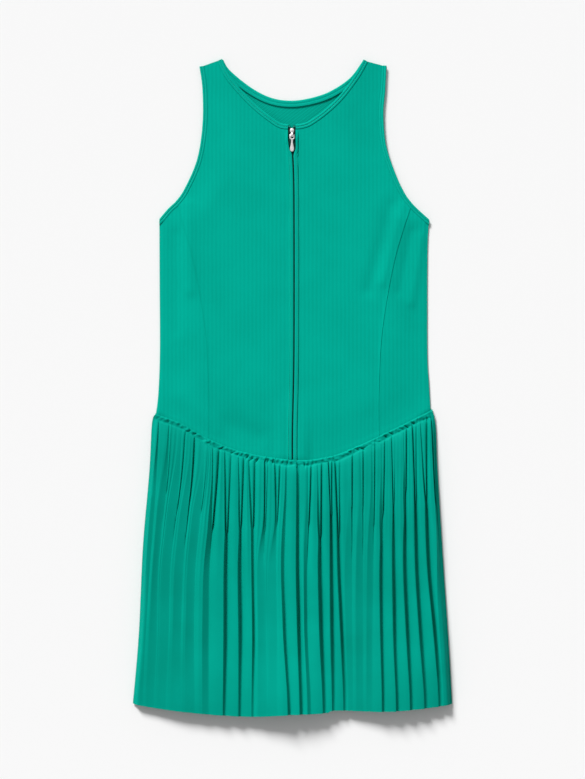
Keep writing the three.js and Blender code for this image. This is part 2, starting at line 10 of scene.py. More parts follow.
import bmesh
import bpy
import numpy as np
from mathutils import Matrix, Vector


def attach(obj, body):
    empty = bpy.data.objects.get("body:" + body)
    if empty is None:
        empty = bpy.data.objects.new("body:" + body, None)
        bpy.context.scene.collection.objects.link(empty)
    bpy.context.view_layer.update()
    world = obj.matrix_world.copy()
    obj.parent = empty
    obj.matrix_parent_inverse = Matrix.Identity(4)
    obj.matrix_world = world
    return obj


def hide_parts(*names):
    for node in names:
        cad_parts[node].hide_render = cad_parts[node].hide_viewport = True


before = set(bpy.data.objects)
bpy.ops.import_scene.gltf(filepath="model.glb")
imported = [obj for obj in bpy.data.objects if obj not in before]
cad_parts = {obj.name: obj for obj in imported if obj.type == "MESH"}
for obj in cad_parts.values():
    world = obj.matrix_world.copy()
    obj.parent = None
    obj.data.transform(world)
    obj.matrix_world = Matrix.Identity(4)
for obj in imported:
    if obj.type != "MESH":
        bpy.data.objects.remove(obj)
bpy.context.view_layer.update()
print("nodes in the frame:", len(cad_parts))

# %% [markdown]
# ## One scale for everything
# The outlines were read from the picture, in pixels. One factor turns them into millimetres,
# and meshes are written in metres at the very end. Working in millimetres keeps cloth sizes readable.

# %% Scale
MM = 0.001
MM_PER_PX = 1.32
MID_PX = 292.57
MID_PY = 387.36
IMAGE_SIZE = (585, 779)


def to_x(px):
    return (np.asarray(px, float) - MID_PX) * MM_PER_PX


def to_y(py):
    return (MID_PY - np.asarray(py, float)) * MM_PER_PX


def line(pixels):
    pixels = np.asarray(pixels, float)
    return np.column_stack([to_x(pixels[:, 0]), to_y(pixels[:, 1])])


print("one pixel is", MM_PER_PX, "mm")

# %% [markdown]
# ## Smooth lines through a few points
# A pattern cutter marks a few points and draws a smooth curve through them. A Catmull-Rom spline does
# the same. `even` then walks along the line in equal steps, so that neighbouring pieces share corners.

# %% Lines
SPLINE_DETAIL = 40


def reach_of(points):
    """How far along a line each of its points is."""
    return np.concatenate([[0], np.cumsum(np.linalg.norm(np.diff(points, axis=0), axis=1))])


def read_off(points, at, places):
    """Points read off a line at some places, where each of its own points has a place."""
    return np.stack([np.interp(places, at, column) for column in points.T], -1)


def even(points, steps):
    points = np.asarray(points, float)
    reach = reach_of(points)
    return read_off(points, reach, np.linspace(0, reach[-1], steps + 1))


def spline(points):
    points = np.asarray(points, float)
    last = len(points) - 1
    drawn = []
    for i in range(last):
        before, start, end, after = (points[min(max(i + k, 0), last)] for k in (-1, 0, 1, 2))
        t = np.linspace(0, 1, SPLINE_DETAIL, endpoint=False)[:, None]
        leave, arrive = (end - before) / 2, (after - start) / 2
        cubic = 2 * start - 2 * end + leave + arrive
        square = -3 * start + 3 * end - 2 * leave - arrive
        drawn.append(cubic * t**3 + square * t**2 + leave * t + start)
    return np.vstack([*drawn, points[-1:]])


def moved(points, distance):
    """The line moved to the left of its own direction by a distance."""
    way = np.gradient(points, axis=0)
    way /= np.linalg.norm(way, axis=1, keepdims=True)
    return points + distance * np.column_stack([-way[:, 1], way[:, 0]])


def smooth(t):
    """A soft step from 0 to 1."""
    t = np.clip(t, 0, 1)
    return t * t * (3 - 2 * t)


def ridge(distance, width, at=0.0):
    """A soft ridge of height 1 along the place where the distance has a given value."""
    return np.exp(-(((distance - at) / width) ** 2))


def mix(a, b, t):
    return a * (1 - t) + b * t


print("steps drawn between two marks:", SPLINE_DETAIL)

# %% [markdown]
# ## The outlines of the dress
# The same short lists as in the solid model: neck and sides run down, waist and hem run across.
# The zip has its own line, and its space is the half width between the two folded edges.

# %% Outlines in picture pixels
OUTLINE_PX = {
    "neckLeft": [(222, 59.3), (230, 76), (245, 94), (260, 108.5), (275, 120), (282, 123.8), (288, 124.5)],
    "neckRight": [
        (363.5, 59.8), (355, 75), (340, 95), (325, 109.5), (310, 120.5), (302, 123.8), (295.5, 124.5),
    ],
    "neckBack": [
        (223, 59.5), (230, 70.5), (250, 87), (270, 97.5), (290, 100.8), (310, 98.3), (330, 91.5),
        (350, 78), (363.5, 59.8),
    ],
    "armUpperLeft": [(199.5, 66.8), (202.5, 90), (202.5, 125), (197, 160), (184, 190), (175, 202.5)],
    "armLowerLeft": [(175, 202.5), (168, 209), (159.5, 219)],
    "armUpperRight": [
        (386.5, 66), (385.3, 90), (383.5, 115), (386, 145), (395, 173), (405, 194), (413.5, 205.2),
    ],
    "armLowerRight": [(413.5, 205.2), (420, 211.5), (429, 219.5)],
    "sideLeft": [(159.5, 219), (159.7, 280), (160, 350), (158.5, 392), (156, 413.5)],
    "sideRight": [(429, 219.5), (427.3, 255), (427.2, 350), (429, 385), (430.5, 410.5)],
    "skirtLeft": [(155.5, 414.2), (152, 424), (149.5, 470), (143, 545), (139, 630), (133, 700.5)],
    "skirtRight": [(431, 410.8), (435.5, 425), (437.5, 470), (443, 560), (449, 650), (452, 703.5)],
    "waist": [
        (155.5, 414), (183, 424), (207, 438), (245, 452.5), (295, 460), (330, 456.5), (360, 445),
        (400, 426), (431, 410.5),
    ],
    "hem": [
        (133, 700.5), (137, 704.2), (184, 711), (245, 715.5), (290, 713.5), (325, 712), (336, 709.7),
        (385, 710.5), (424, 707.5), (452, 703.5),
    ],
    "princessRight": [(403, 230), (394, 262), (385, 310), (380.5, 350), (378.7, 400), (379, 436.4)],
    "zip": [
        (291.8, 125.8), (291.8, 140), (292.7, 154), (294, 200), (294, 350), (292.5, 430), (292.5, 458.6),
    ],
}
SIDES = (("Left", -1), ("Right", 1))
SEAM_MIRROR_PX = 294
ZIP_SPACE = [(130, 3.85), (141, 3.85), (149, 3.4), (154.5, 0.75), (200, 0.7), (459, 0.7)]
curves = {name: spline(line(pixels)) for name, pixels in OUTLINE_PX.items()}
print("outlines:", ", ".join(curves))

# %% [markdown]
# ## How high the front lies
# The back lies flat. The front lies on it, low along the sides and lifted in the middle, where the
# zip stands between the layers. It sinks again towards the waist, on both sides of the zip. Soft
# creases run down from the armholes, each from one point to another, with a width and a height.

# %% Height of the front
CLOTH = 1.1
FRONT_LOW = 1.5
FRONT_RISE = 2.6
RISE_WIDTH = 55
WAIST_SINK = 1.8
SINK_RUN = 90
ZIP_LEVEL = 12
ZIP_LEVEL_RUN = 16
CREASE_RUN = 12
CREASES = [
    # x0, y0, x1, y1 in pixels, width and height in millimetres
    (391, 206, 369, 290, 9, -1.2),
    (404, 206, 383, 282, 7, 1.0),
    (411, 232, 399, 292, 6, -0.7),
    (423, 238, 411, 302, 7, 1.0),
    (176, 235, 177, 330, 8, -0.7),
    (188, 205, 190, 290, 8, 1.0),
    (182, 396, 216, 427, 13, 0.9),
    (228, 424, 258, 436, 14, -1.1),
]
edge = {}
for side, _ in SIDES:
    below_shoulder = [curves[part + side][1:] for part in ("armLower", "side", "skirt")]
    edge[side] = np.vstack([curves["armUpper" + side], *below_shoulder])


def by_height(points, y):
    """X of a line that runs down, at a height."""
    return np.interp(-y, -points[:, 1], points[:, 0])


def down_table(table, y):
    """A value from a short table of heights in the picture and values."""
    return np.interp(-y, [-to_y(py) for py, _ in table], [value for _, value in table])


def in_from_side(x, y):
    """How far a point lies inside the nearer edge of the dress."""
    return np.minimum(x - by_height(edge["Left"], y), by_height(edge["Right"], y) - x)


def crease_height(x, y, creases):
    total = np.zeros(np.broadcast(x, y).shape)
    for x0, y0, x1, y1, wide, high in creases:
        start, end = line([(x0, y0), (x1, y1)])
        span = end - start
        t = ((x - start[0]) * span[0] + (y - start[1]) * span[1]) / (span @ span)
        t = np.clip(t, 0, 1)
        away = np.hypot(x - start[0] - t * span[0], y - start[1] - t * span[1])
        total += high * ridge(away, wide)
    return total


def waist_at(x):
    return np.interp(x, curves["waist"][:, 0], curves["waist"][:, 1])


def front_under(x, y):
    """Height of the front's under face."""
    inside = in_from_side(x, y)
    lifted = smooth(inside / RISE_WIDTH)
    sink = WAIST_SINK * smooth((waist_at(x) + SINK_RUN - y) / SINK_RUN)
    sink = sink * smooth((np.abs(x) - ZIP_LEVEL) / ZIP_LEVEL_RUN)
    creases = crease_height(x, y, CREASES) * smooth(inside / CREASE_RUN)
    return FRONT_LOW + FRONT_RISE * lifted - sink * lifted + creases


def hem_at(x):
    return np.interp(x, curves["hem"][:, 0], curves["hem"][:, 1])


print("front over the zip stands", front_under(0.0, 100.0) + CLOTH, "mm high")

# %% [markdown]
# ## Measuring a lattice
# Every cloth piece starts as rows and columns of points on its outer face. From these come the
# directions that the cloth faces, the lengths along it and its area, as on a cutting table.

# %% Lattice measures
def lattice_normals(grid):
    """Normals of a lattice of points, turned to the side that faces up."""
    across = np.gradient(grid, axis=1)
    down = np.gradient(grid, axis=0)
    normal = np.cross(down, across)
    normal /= np.linalg.norm(normal, axis=2, keepdims=True)
    return normal * (1 if normal[..., 2].mean() > 0 else -1)


def lengths(grid, axis):
    """Length run so far along each row or column of a lattice."""
    step = np.linalg.norm(np.diff(grid, axis=axis), axis=2)
    return np.concatenate([np.zeros_like(np.take(step, [0], axis)), np.cumsum(step, axis=axis)], axis=axis)


def grid_area(grid):
    first = np.cross(grid[1:, :-1] - grid[:-1, :-1], grid[:-1, 1:] - grid[:-1, :-1])
    second = np.cross(grid[1:, :-1] - grid[1:, 1:], grid[:-1, 1:] - grid[1:, 1:])
    return float((np.linalg.norm(first, axis=2) + np.linalg.norm(second, axis=2)).sum() / 2)


corner = np.array([[(0, 1, 0), (1, 1, 0)], [(0, 0, 0), (1, 0, 0)]], float)
print("a square of one millimetre measures", grid_area(corner))

# %% [markdown]
# ## From a lattice to a piece of cloth
# The inner face is the same lattice pushed in along its normals, and a rim closes it. Lengths along
# the lattice become a UV map in metres, so that knit and weave follow the cloth round its folds.

# %% Cloth builder
SHARP_ANGLE = 48
pieces = {}


def new_object(name, verts, faces, material):
    mesh = bpy.data.meshes.new(name)
    mesh.from_pydata((np.asarray(verts) * MM).tolist(), [], faces)
    mesh.materials.append(material)
    mesh.shade_smooth()
    mesh.set_sharp_from_angle(angle=math.radians(SHARP_ANGLE))
    obj = bpy.data.objects.new(name, mesh)
    bpy.context.scene.collection.objects.link(obj)
    return obj


def cloth_piece(name, grid, thick, material, grain_upright=False):
    """A closed thin shell whose outer face is the lattice. An upright grain follows X and Y."""
    rows, cols = grid.shape[:2]
    turn = np.cross(grid[0, -1] - grid[0, 0], grid[-1, 0] - grid[0, 0])[2]
    if turn > 0:
        grid = grid[:, ::-1]
    under = grid - lattice_normals(grid) * thick
    verts = np.vstack([grid.reshape(-1, 3), under.reshape(-1, 3)])
    top = np.arange(rows * cols).reshape(rows, cols)
    low = top + rows * cols
    quads = [
        np.stack([top[:-1, :-1], top[1:, :-1], top[1:, 1:], top[:-1, 1:]], -1).reshape(-1, 4),
        np.stack([low[:-1, :-1], low[:-1, 1:], low[1:, 1:], low[1:, :-1]], -1).reshape(-1, 4),
        np.stack([low[:-1, 0], low[1:, 0], top[1:, 0], top[:-1, 0]], -1),
        np.stack([low[1:, -1], low[:-1, -1], top[:-1, -1], top[1:, -1]], -1),
        np.stack([low[0, 1:], low[0, :-1], top[0, :-1], top[0, 1:]], -1),
        np.stack([low[-1, :-1], low[-1, 1:], top[-1, 1:], top[-1, :-1]], -1),
    ]
    obj = new_object(name, verts, np.vstack(quads).tolist(), material)
    cut = grid[..., :2] if grain_upright else np.stack([lengths(grid, 1), lengths(grid, 0)], -1)
    cut = cut.reshape(-1, 2) * MM
    uv = obj.data.uv_layers.new(name="cloth")
    corner = np.empty(len(obj.data.loops), np.int32)
    obj.data.loops.foreach_get("vertex_index", corner)
    uv.data.foreach_set("uv", cut[corner % (rows * cols)].astype(np.float32).ravel())
    pieces[name] = {
        "object": obj,
        "width": float(lengths(grid, 1)[:, -1].max()) * MM,
        "length": float(lengths(grid, 0)[-1].max()) * MM,
        "area": grid_area(grid) * MM * MM,
    }


print("edges sharper than", SHARP_ANGLE, "degrees stay sharp")

# %% [markdown]
# ## Materials from a few nodes
# Plastic, thread and lacquer are never of one even colour, so a shared recipe mixes two close shades
# in fine specks. Each reads the object's own coordinates, in metres, so a speck keeps its real size.

# %% Material helpers
def new_material(name):
    material = bpy.data.materials.new(name)
    material.use_nodes = True
    tree = material.node_tree
    return material, tree, tree.nodes["Principled BSDF"]


def add_node(tree, kind, **settings):
    node = tree.nodes.new(kind)
    for key, value in settings.items():
        if key in node.inputs:
            node.inputs[key].default_value = value
        else:
            setattr(node, key, value)
    return node


def wire(tree, *wires):
    """Links sockets by name: a node and its output, then a node and its input."""
    for start, output, end, socket in wires:
        tree.links.new(start.outputs[output], end.inputs[socket])


def two_shades(tree, dark, light, places=(0.0, 1.0)):
    """A colour ramp between two shades."""
    ramp = add_node(tree, "ShaderNodeValToRGB")
    for element, shade, place in zip(ramp.color_ramp.elements, (dark, light), places):
        element.position = place
        element.color = (*shade, 1)
    return ramp


def speckled_material(name, dark, light, scale, roughness, specular=0.5):
    """Two close shades in specks, for what is too small or too plain to need more."""
    material, tree, shader = new_material(name)
    place = add_node(tree, "ShaderNodeTexCoord")
    specks = add_node(tree, "ShaderNodeTexNoise", Scale=scale)
    ramp = two_shades(tree, dark, light)
    wire(
        tree,
        (place, "Object", specks, "Vector"),
        (specks, "Fac", ramp, "Fac"),
        (ramp, "Color", shader, "Base Color"),
    )
    shader.inputs["Roughness"].default_value = roughness
    shader.inputs["Specular IOR Level"].default_value = specular
    return material


materials_before = len(bpy.data.materials)
print("materials before the cloth:", materials_before)

# %% [markdown]
# ## Knit and weave
# A knit has narrow upright ribs, rows of loops across them and a faint wider stripe where the tension
# changes. All three are waves across the cloth's own UV map, whose unit is a metre, so they bend with
# the cloth. A rib is a fifth of a millimetre high, so it is bump and not geometry. The cloth is matt,
# with almost no specular light, because a dyed jersey scatters nearly all that falls on it.

# %% Cloth recipe
WAVE_RADIANS = 20


def bands(tree, axis, period_mm, settings):
    """A wave texture whose bands repeat after a length in millimetres."""
    wave = add_node(tree, "ShaderNodeTexWave", wave_type="BANDS", bands_direction=axis, wave_profile="SIN")
    wave.inputs["Scale"].default_value = 2 * math.pi / (period_mm * MM) / WAVE_RADIANS
    for label, value in settings.items():
        wave.inputs[label].default_value = value
    return wave


def multiply_add(tree, value, factor, added):
    """One value times a factor, plus another value."""
    node = add_node(tree, "ShaderNodeMath", operation="MULTIPLY_ADD")
    node.inputs[1].default_value = factor
    wire(tree, (*value, node, 0), (*added, node, 2))
    return node


def cloth_material(name, dark, light, rib_mm, rib_depth, stripe_mm, roughness, sheen, diagonal=False):
    """Cloth with ribs across U, threads along V, soft patches of shade and a fine fuzz."""
    material, tree, shader = new_material(name)
    uv = add_node(tree, "ShaderNodeUVMap", uv_map="cloth")
    place = add_node(tree, "ShaderNodeTexCoord")
    ribs = bands(tree, "X", rib_mm, {"Distortion": 0.4, "Detail": 1.0})
    rows = bands(tree, "Y", rib_mm * 0.7, {"Distortion": 0.6})
    stripe = bands(tree, "X", stripe_mm, {"Distortion": 1.2, "Detail Scale": 0.6})
    for angle, waves in ((52, (ribs, stripe)), (38, (rows,))):
        aslant = add_node(tree, "ShaderNodeVectorRotate", rotation_type="Z_AXIS")
        aslant.inputs["Angle"].default_value = math.radians(angle if diagonal else 0)
        wire(tree, (uv, "UV", aslant, "Vector"), *[(aslant, "Vector", wave, "Vector") for wave in waves])
    shade = add_node(tree, "ShaderNodeTexNoise", Scale=18.0, Detail=3.0)
    fuzz = add_node(tree, "ShaderNodeTexNoise", Scale=1800.0, Detail=2.0)
    soft = add_node(tree, "ShaderNodeMath", operation="MULTIPLY")
    soft.inputs[1].default_value = 0.9
    blend = multiply_add(tree, (stripe, "Fac"), 0.35, (soft, 0))
    relief = multiply_add(tree, (rows, "Fac"), 0.35, (ribs, "Fac"))
    relief_fuzz = multiply_add(tree, (fuzz, "Fac"), 0.5, (relief, 0))
    ramp = two_shades(tree, dark, light, (0.35, 0.85))
    bump = add_node(tree, "ShaderNodeBump", Strength=0.5, Distance=rib_depth * MM)
    rough = add_node(tree, "ShaderNodeMapRange")
    rough.inputs["To Min"].default_value = roughness - 0.06
    rough.inputs["To Max"].default_value = roughness + 0.06
    wire(
        tree,
        (place, "Object", shade, "Vector"),
        (place, "Object", fuzz, "Vector"),
        (shade, "Fac", soft, 0),
        (blend, 0, ramp, "Fac"),
        (ramp, "Color", shader, "Base Color"),
        (relief_fuzz, 0, bump, "Height"),
        (bump, "Normal", shader, "Normal"),
        (fuzz, "Fac", rough, "Value"),
        (rough, "Result", shader, "Roughness"),
    )
    shader.inputs["Specular IOR Level"].default_value = 0.02
    shader.inputs["Sheen Weight"].default_value = sheen
    shader.inputs["Sheen Roughness"].default_value = 0.5
    shader.inputs["Sheen Tint"].default_value = (*light, 1)
    return material


print("a wave node turns", WAVE_RADIANS, "radians to a unit at scale 1")

# %% [markdown]
# ## The five cloths
# The bodice and its bands are knit. Inside the neck the back panel shows its wrong side, a little
# darker, with its ribs aslant. The skirt is a smooth woven cloth, darker than the knit, whose weave is
# too fine to show, so it has no relief of its own. The tapes are a dense dark weave.

# %% Cloth materials
KNIT_LIGHT = (0.0, 0.4, 0.297)
KNIT_DARK = (0.0, 0.355, 0.262)
WOVEN_LIGHT = (0.0, 0.325, 0.243)
WOVEN_DARK = (0.0, 0.28, 0.206)
knit = cloth_material("ribbed_knit", KNIT_DARK, KNIT_LIGHT, 1.3, 0.18, 5.3, 0.8, 0.0)
band_knit = cloth_material("band_knit", KNIT_DARK, (0.0015, 0.41, 0.305), 1.1, 0.22, 3.0, 0.8, 0.0)
inside_knit = cloth_material(
    "inside_knit", (0.0, 0.3, 0.217), (0.001, 0.375, 0.276), 2.1, 0.2, 3.4, 0.85, 0.0, diagonal=True
)
woven = cloth_material("skirt_woven", WOVEN_DARK, WOVEN_LIGHT, 0.4, 0.0, 400.0, 0.66, 0.0)
TAPE_DARK = (0.0008, 0.12, 0.09)
TAPE_LIGHT = (0.001, 0.16, 0.12)
tape_cloth = cloth_material("zip_tape", TAPE_DARK, TAPE_LIGHT, 0.8, 0.15, 2.5, 0.8, 0.02)
print("cloth materials:", len(bpy.data.materials) - materials_before)

# %% [markdown]
# ## The front panels
# Four panels meet at the zip and at the princess seams. Each is a lattice between its four edges. Next
# to an edge the lattice is dense, because the turned-in edge beside the zip, its row of stitches and
# the small step at a princess seam are all within a few millimetres of it.

# %% Edges of the front panels
LAST_ZIP_PY = 460
NECK_BAND = 6.6
BACK_NECK_BAND = 8.6
ARM_BAND = 6.2
ARMPIT_SLANT = 1.25
TUCK = 0.9
NECK_ROWS, LOW_ROWS = 40, 110
NECK_SHARE = 12 / 26


def arm_line(side, distance, rows_up=NECK_ROWS, rows_down=16):
    """The armhole's edge moved in, with its lower end on the side of the dress."""
    sign = 1 if side == "Left" else -1
    upper = even(curves["armUpper" + side], rows_up)
    lower = even(curves["armLower" + side], rows_down)[1:]
    whole = np.vstack([upper, lower])
    if distance:
        inner = moved(whole, sign * distance)
        inner[-1] = whole[-1] - (0, distance * ARMPIT_SLANT)
        return inner
    return whole


def to_waist(start, pixels, steps):
    """A line from a point through some pixels, ending on the waist seam."""
    points = np.vstack([start, line(pixels)])
    points[-1, 1] = waist_at(points[-1, 0])
    return even(spline(points), steps)


def zip_edge(start, sign, steps):
    """The folded edge of a centre panel beside the zip."""
    heights = np.linspace(start[1], to_y(LAST_ZIP_PY), 200)
    x = by_height(curves["zip"], heights) + sign * down_table(ZIP_SPACE, heights) * MM_PER_PX
    points = np.column_stack([x, heights])
    points[0] = start
    points[-1, 1] = waist_at(points[-1, 0])
    return even(points, steps)


princess = {"Right": OUTLINE_PX["princessRight"]}
princess["Left"] = [(2 * SEAM_MIRROR_PX - px, py) for px, py in princess["Right"]]
front_lines = {}
for side, sign in SIDES:
    neck = even(curves["neck" + side], NECK_ROWS)
    neck_seam = moved(neck, sign * (NECK_BAND - TUCK))
    arm_seam = arm_line(side, ARM_BAND - TUCK)
    seam = to_waist(arm_seam[NECK_ROWS], princess[side], LOW_ROWS)
    inner = np.vstack([neck_seam, zip_edge(neck_seam[-1], sign, LOW_ROWS)[1:]])
    outer = np.vstack([arm_seam[:NECK_ROWS], seam])
    front_lines[side] = {"inner": inner, "outer": outer, "seam": seam, "under_arm": arm_seam[NECK_ROWS:]}
print("rows down a centre panel:", NECK_ROWS + LOW_ROWS + 1)

# %% [markdown]
# ## A lattice between two edges
# Cloth between two seams is laid out as rows from one seam to the other. The fixed steps near the
# first edge keep small forms crisp, and the rest of the row is spread evenly. The last row follows the
# waist, and where there is a top line, the first row follows that.

# %% Panel lattice
AFTER_NEAR = 1.5


def waist_part(x0, x1, shares):
    """Points at shares of the length of the waist between two places."""
    xs = np.linspace(x0, x1, 200)
    points = np.column_stack([xs, waist_at(xs)])
    reach = reach_of(points)
    return read_off(points, reach, shares * reach[-1])


def column_places(width, near, count):
    """Distances from the first edge: the near ones fixed, the others spread over what is left."""
    rest = np.linspace(0, 1, count)[None, :]
    near = np.asarray(near, float)[None, :]
    spread = near[:, -1:] + AFTER_NEAR + (width[:, None] - near[:, -1:] - AFTER_NEAR) * rest
    return np.concatenate([np.repeat(near, len(width), 0), spread], axis=1)


def panel_lattice(first, second, near, count, share_of_row, top_line=None):
    """Points across from the first edge to the second, bent to the waist line at the bottom."""
    width = np.linalg.norm(second - first, axis=1)
    far = column_places(width, near, count)
    share = far / width[:, None]
    flat = first[:, None] * (1 - share[..., None]) + second[:, None] * share[..., None]
    bottom_bend = waist_part(first[-1, 0], second[-1, 0], share[-1]) - flat[-1]
    flat = flat + read_off(bottom_bend, share[-1], share) * share_of_row[:, None, None]
    if top_line is not None:
        top_bend = read_off(top_line, np.linspace(0, 1, len(top_line)), share[0]) - flat[0]
        flat = flat + read_off(top_bend, share[0], share) * (1 - share_of_row)[:, None, None]
    return flat, far, width[:, None] - far


print("extra steps near an edge are followed by one of", AFTER_NEAR, "mm")

# %% [markdown]
# ## The front centre panels
# Small forms are added to the height by distance from an edge. Beside the zip the cloth is turned in
# and stitched, so it stands in a step, the placket, with a furrow under the stitches. The step is
# higher at the right of the slider, where it throws the dark line of the picture. The panel's lip
# laps over the side panel at the princess seam, and the cloth dips into the waist seam.

# %% Front centre panels
PLACKET_AT = [(130, 9.6), (140, 8.3), (150, 7.3), (170, 6.1)]
PLACKET_HIGH = 1.0
EDGE_OF_PLACKET = {"Left": 0.35, "Right": -1.1}
AT_SLIDER = {"Left": 0.0, "Right": 1.0}
SLIDER_RUN = 22 * MM_PER_PX
STITCH_FURROW = 0.22
ZIP_FOLD = 0.35
SEAM_LIP = {"Left": 0.2, "Right": 0.55}
WAIST_DIP = 0.8
WAIST_DIP_WIDTH = 1.4
LOW_SLOPE = 0.9
LOW_SLOPE_RUN = 55
PANEL_THICK = 0.9
ROW_SHARE = np.concatenate([
    np.linspace(0, NECK_SHARE, NECK_ROWS, endpoint=False), np.linspace(NECK_SHARE, 1, LOW_ROWS + 1),
])
NEAR_ZIP = (
    0, 0.3, 0.8, 1.8, 2.4, 2.7, 2.9, 3.1, 3.3, 3.5, 3.7,
    3.9, 4.1, 4.3, 4.5, 4.7, 4.95, 5.15, 5.35, 5.7, 6.4, 8,
)


def tucked(z, distance, depth=0.5, width=0.9):
    """Lowers the cloth next to an edge that goes under its neighbour."""
    return z - depth * ridge(distance, width)


def sunk_to_waist(x, y, z, inward):
    """Lowers the cloth into the waist seam, and slopes it a little above the seam."""
    z = z - WAIST_DIP * ridge(y - waist_at(x), WAIST_DIP_WIDTH)
    sinking = (1 - smooth((y - waist_at(x)) / LOW_SLOPE_RUN)) * smooth((y - waist_at(x) + 1) / 6)
    return z - LOW_SLOPE * sinking * inward


for side in ("Left", "Right"):
    inner, outer = front_lines[side]["inner"], front_lines[side]["outer"]
    flat, from_zip, from_seam = panel_lattice(inner, outer, NEAR_ZIP, 44, ROW_SHARE)
    x, y = flat[..., 0], flat[..., 1]
    z = front_under(x, y) + CLOTH
    beside_zip = smooth((np.arange(len(y)) - NECK_ROWS) / 3)[:, None]
    below_arm = smooth((front_lines[side]["seam"][0, 1] - y + 4) / 8)
    from_step = np.abs(x - by_height(curves["zip"], y)) - down_table(PLACKET_AT, y)
    near_slider = AT_SLIDER[side] * (1 - smooth((to_y(140) - y) / SLIDER_RUN))
    z = z + (PLACKET_HIGH + 0.6 * near_slider) * (1 - smooth((from_step + 0.25) / 0.5)) * beside_zip
    z = z - STITCH_FURROW * ridge(from_step, 0.35, -1.1) * beside_zip
    z = z + EDGE_OF_PLACKET[side] * ridge(from_step, 0.4, 0.1) * beside_zip
    z = z - ZIP_FOLD * ridge(from_zip, 0.4) * beside_zip
    z = tucked(z, from_zip + 10 * beside_zip)
    z = tucked(z, from_seam + 10 * below_arm)
    z = z + SEAM_LIP[side] * ridge(from_seam, 2.0) * below_arm
    z = sunk_to_waist(x, y, z, smooth((from_zip - ZIP_LEVEL) / ZIP_LEVEL_RUN))
    cloth_piece("front_centre_" + side.lower() + "_cloth", np.dstack([x, y, z]), PANEL_THICK, knit, True)
print("front centre panels:", len(pieces))

# %% [markdown]
# ## The side panels
# A side panel has the armhole seam as its top edge, the princess seam on one side and the side of the
# dress on the other, where it rolls softly under. Its outer face stays above the back panel's.

# %% Side panels
SIDE_ROWS = 90
SIDE_ROLL = 0.8
SIDE_LOWEST = 1.3
SEAM_LAP = 0.7
for side, sign in SIDES:
    under_arm = front_lines[side]["under_arm"]
    seam = even(front_lines[side]["seam"], SIDE_ROWS)
    seam = seam - (sign * SEAM_LAP, 0)
    edge_line = curves["side" + side]
    edge_line = edge_line[edge_line[:, 1] < under_arm[-1, 1] - 1]
    flank = even(np.vstack([under_arm[-1:], edge_line]), SIDE_ROWS)
    arm_part = np.vstack([seam[:1], under_arm[1:]])
    rows = np.linspace(0, 1, SIDE_ROWS + 1)
    flat, from_seam, from_side = panel_lattice(seam, flank, (0, 0.4, 0.9, 1.6), 26, rows, arm_part)
    x, y = flat[..., 0], flat[..., 1]
    z = tucked(front_under(x, y) + CLOTH, from_seam, 0.5, 0.8)
    z = z - SIDE_ROLL * (1 - smooth(from_side / 3))
    z = np.maximum(sunk_to_waist(x, y, z, smooth((from_side - 4) / 20)), SIDE_LOWEST)
    cloth_piece("front_side_" + side.lower() + "_cloth", np.dstack([x, y, z]), PANEL_THICK, knit, True)
print("front panels:", [name for name in pieces])

# %% [markdown]
# ## Bands
# The neck and armholes are finished with a narrow folded band. Across its width it is a low dome with
# a groove where it is stitched down. At the open edge the fold rolls over.

# %% Band builder
BAND_ACROSS = np.array([0, 0.03, 0.08, 0.16, 0.3, 0.42, 0.48, 0.53, 0.58, 0.64, 0.78, 0.92, 0.97, 1])
GROOVE_AT = 0.53


def band_lattice(outer, inner, height, proud, roll=0.7, groove=0.4, tilt=0.0):
    """A strip between two lines, rolled over at the outer edge, with a groove under its stitches."""
    across = BAND_ACROSS[None, :, None]
    flat = outer[:, None] * (1 - across) + inner[:, None] * across
    x, y = flat[..., 0], flat[..., 1]
    u = BAND_ACROSS[None, :]
    form = proud - roll * (1 - np.sqrt(np.clip(1 - (1 - np.minimum(u / 0.3, 1)) ** 2, 0, 1)))
    form = form - groove * ridge(u, 0.06, GROOVE_AT) - 0.3 * smooth((u - 0.95) / 0.05)
    return np.dstack([x, y, height(x, y) + form + tilt * (1 - u)])


def front_top(x, y):
    return front_under(x, y) + CLOTH


print("a band has", len(BAND_ACROSS), "points across")

# %% [markdown]
# ## The bands of the neck and armholes
# The front bands lie on the front, and the back bands under them. The back neck band stands highest
# in the middle and sinks at its ends, where it goes under the front at the shoulders. The right
# armhole's band is turned up more than the left one, as the light on it in the picture tells.

# %% Bands
ARM_BAND_TILT = {"Left": 0.3, "Right": 1.3}
BACK_BAND_TOP = 0.9
NECK_BAND_LOW = 1.4
NECK_BAND_RISE = 1.1
NECK_BAND_ENDS_PX = (228, 358)
FRONT_BAND_THICK = 0.9
BACK_BAND_THICK = 0.85
NECK_BAND_THICK = 1.2


def back_top(x, y):
    return np.full(np.shape(x), BACK_BAND_TOP)


def back_neck_top(x, y):
    first, last = to_x(NECK_BAND_ENDS_PX)
    return NECK_BAND_LOW + NECK_BAND_RISE * smooth(np.minimum(x - first, last - x) / 22)


for side, sign in SIDES:
    name = side.lower()
    neck = even(curves["neck" + side], 90)
    grid = band_lattice(neck, moved(neck, sign * NECK_BAND), front_top, 0.55)
    cloth_piece("front_neck_band_" + name + "_cloth", grid, FRONT_BAND_THICK, band_knit)
    outer = arm_line(side, 0, 90, 36)
    inner = arm_line(side, ARM_BAND, 90, 36)
    grid = band_lattice(outer, inner, front_top, 0.35, tilt=ARM_BAND_TILT[side])
    cloth_piece("front_armhole_band_" + name + "_cloth", grid, FRONT_BAND_THICK, band_knit)
    grid = band_lattice(outer, inner, back_top, 0.2, 0.3, 0.1)
    cloth_piece("back_armhole_band_" + name + "_cloth", grid, BACK_BAND_THICK, band_knit)
neck = even(curves["neckBack"], 150)
grid = band_lattice(neck, moved(neck, -BACK_NECK_BAND), back_neck_top, 0.1, groove=0.3)
cloth_piece("back_neck_band_cloth", grid, NECK_BAND_THICK, band_knit)
print("pieces after the bands:", len(pieces))

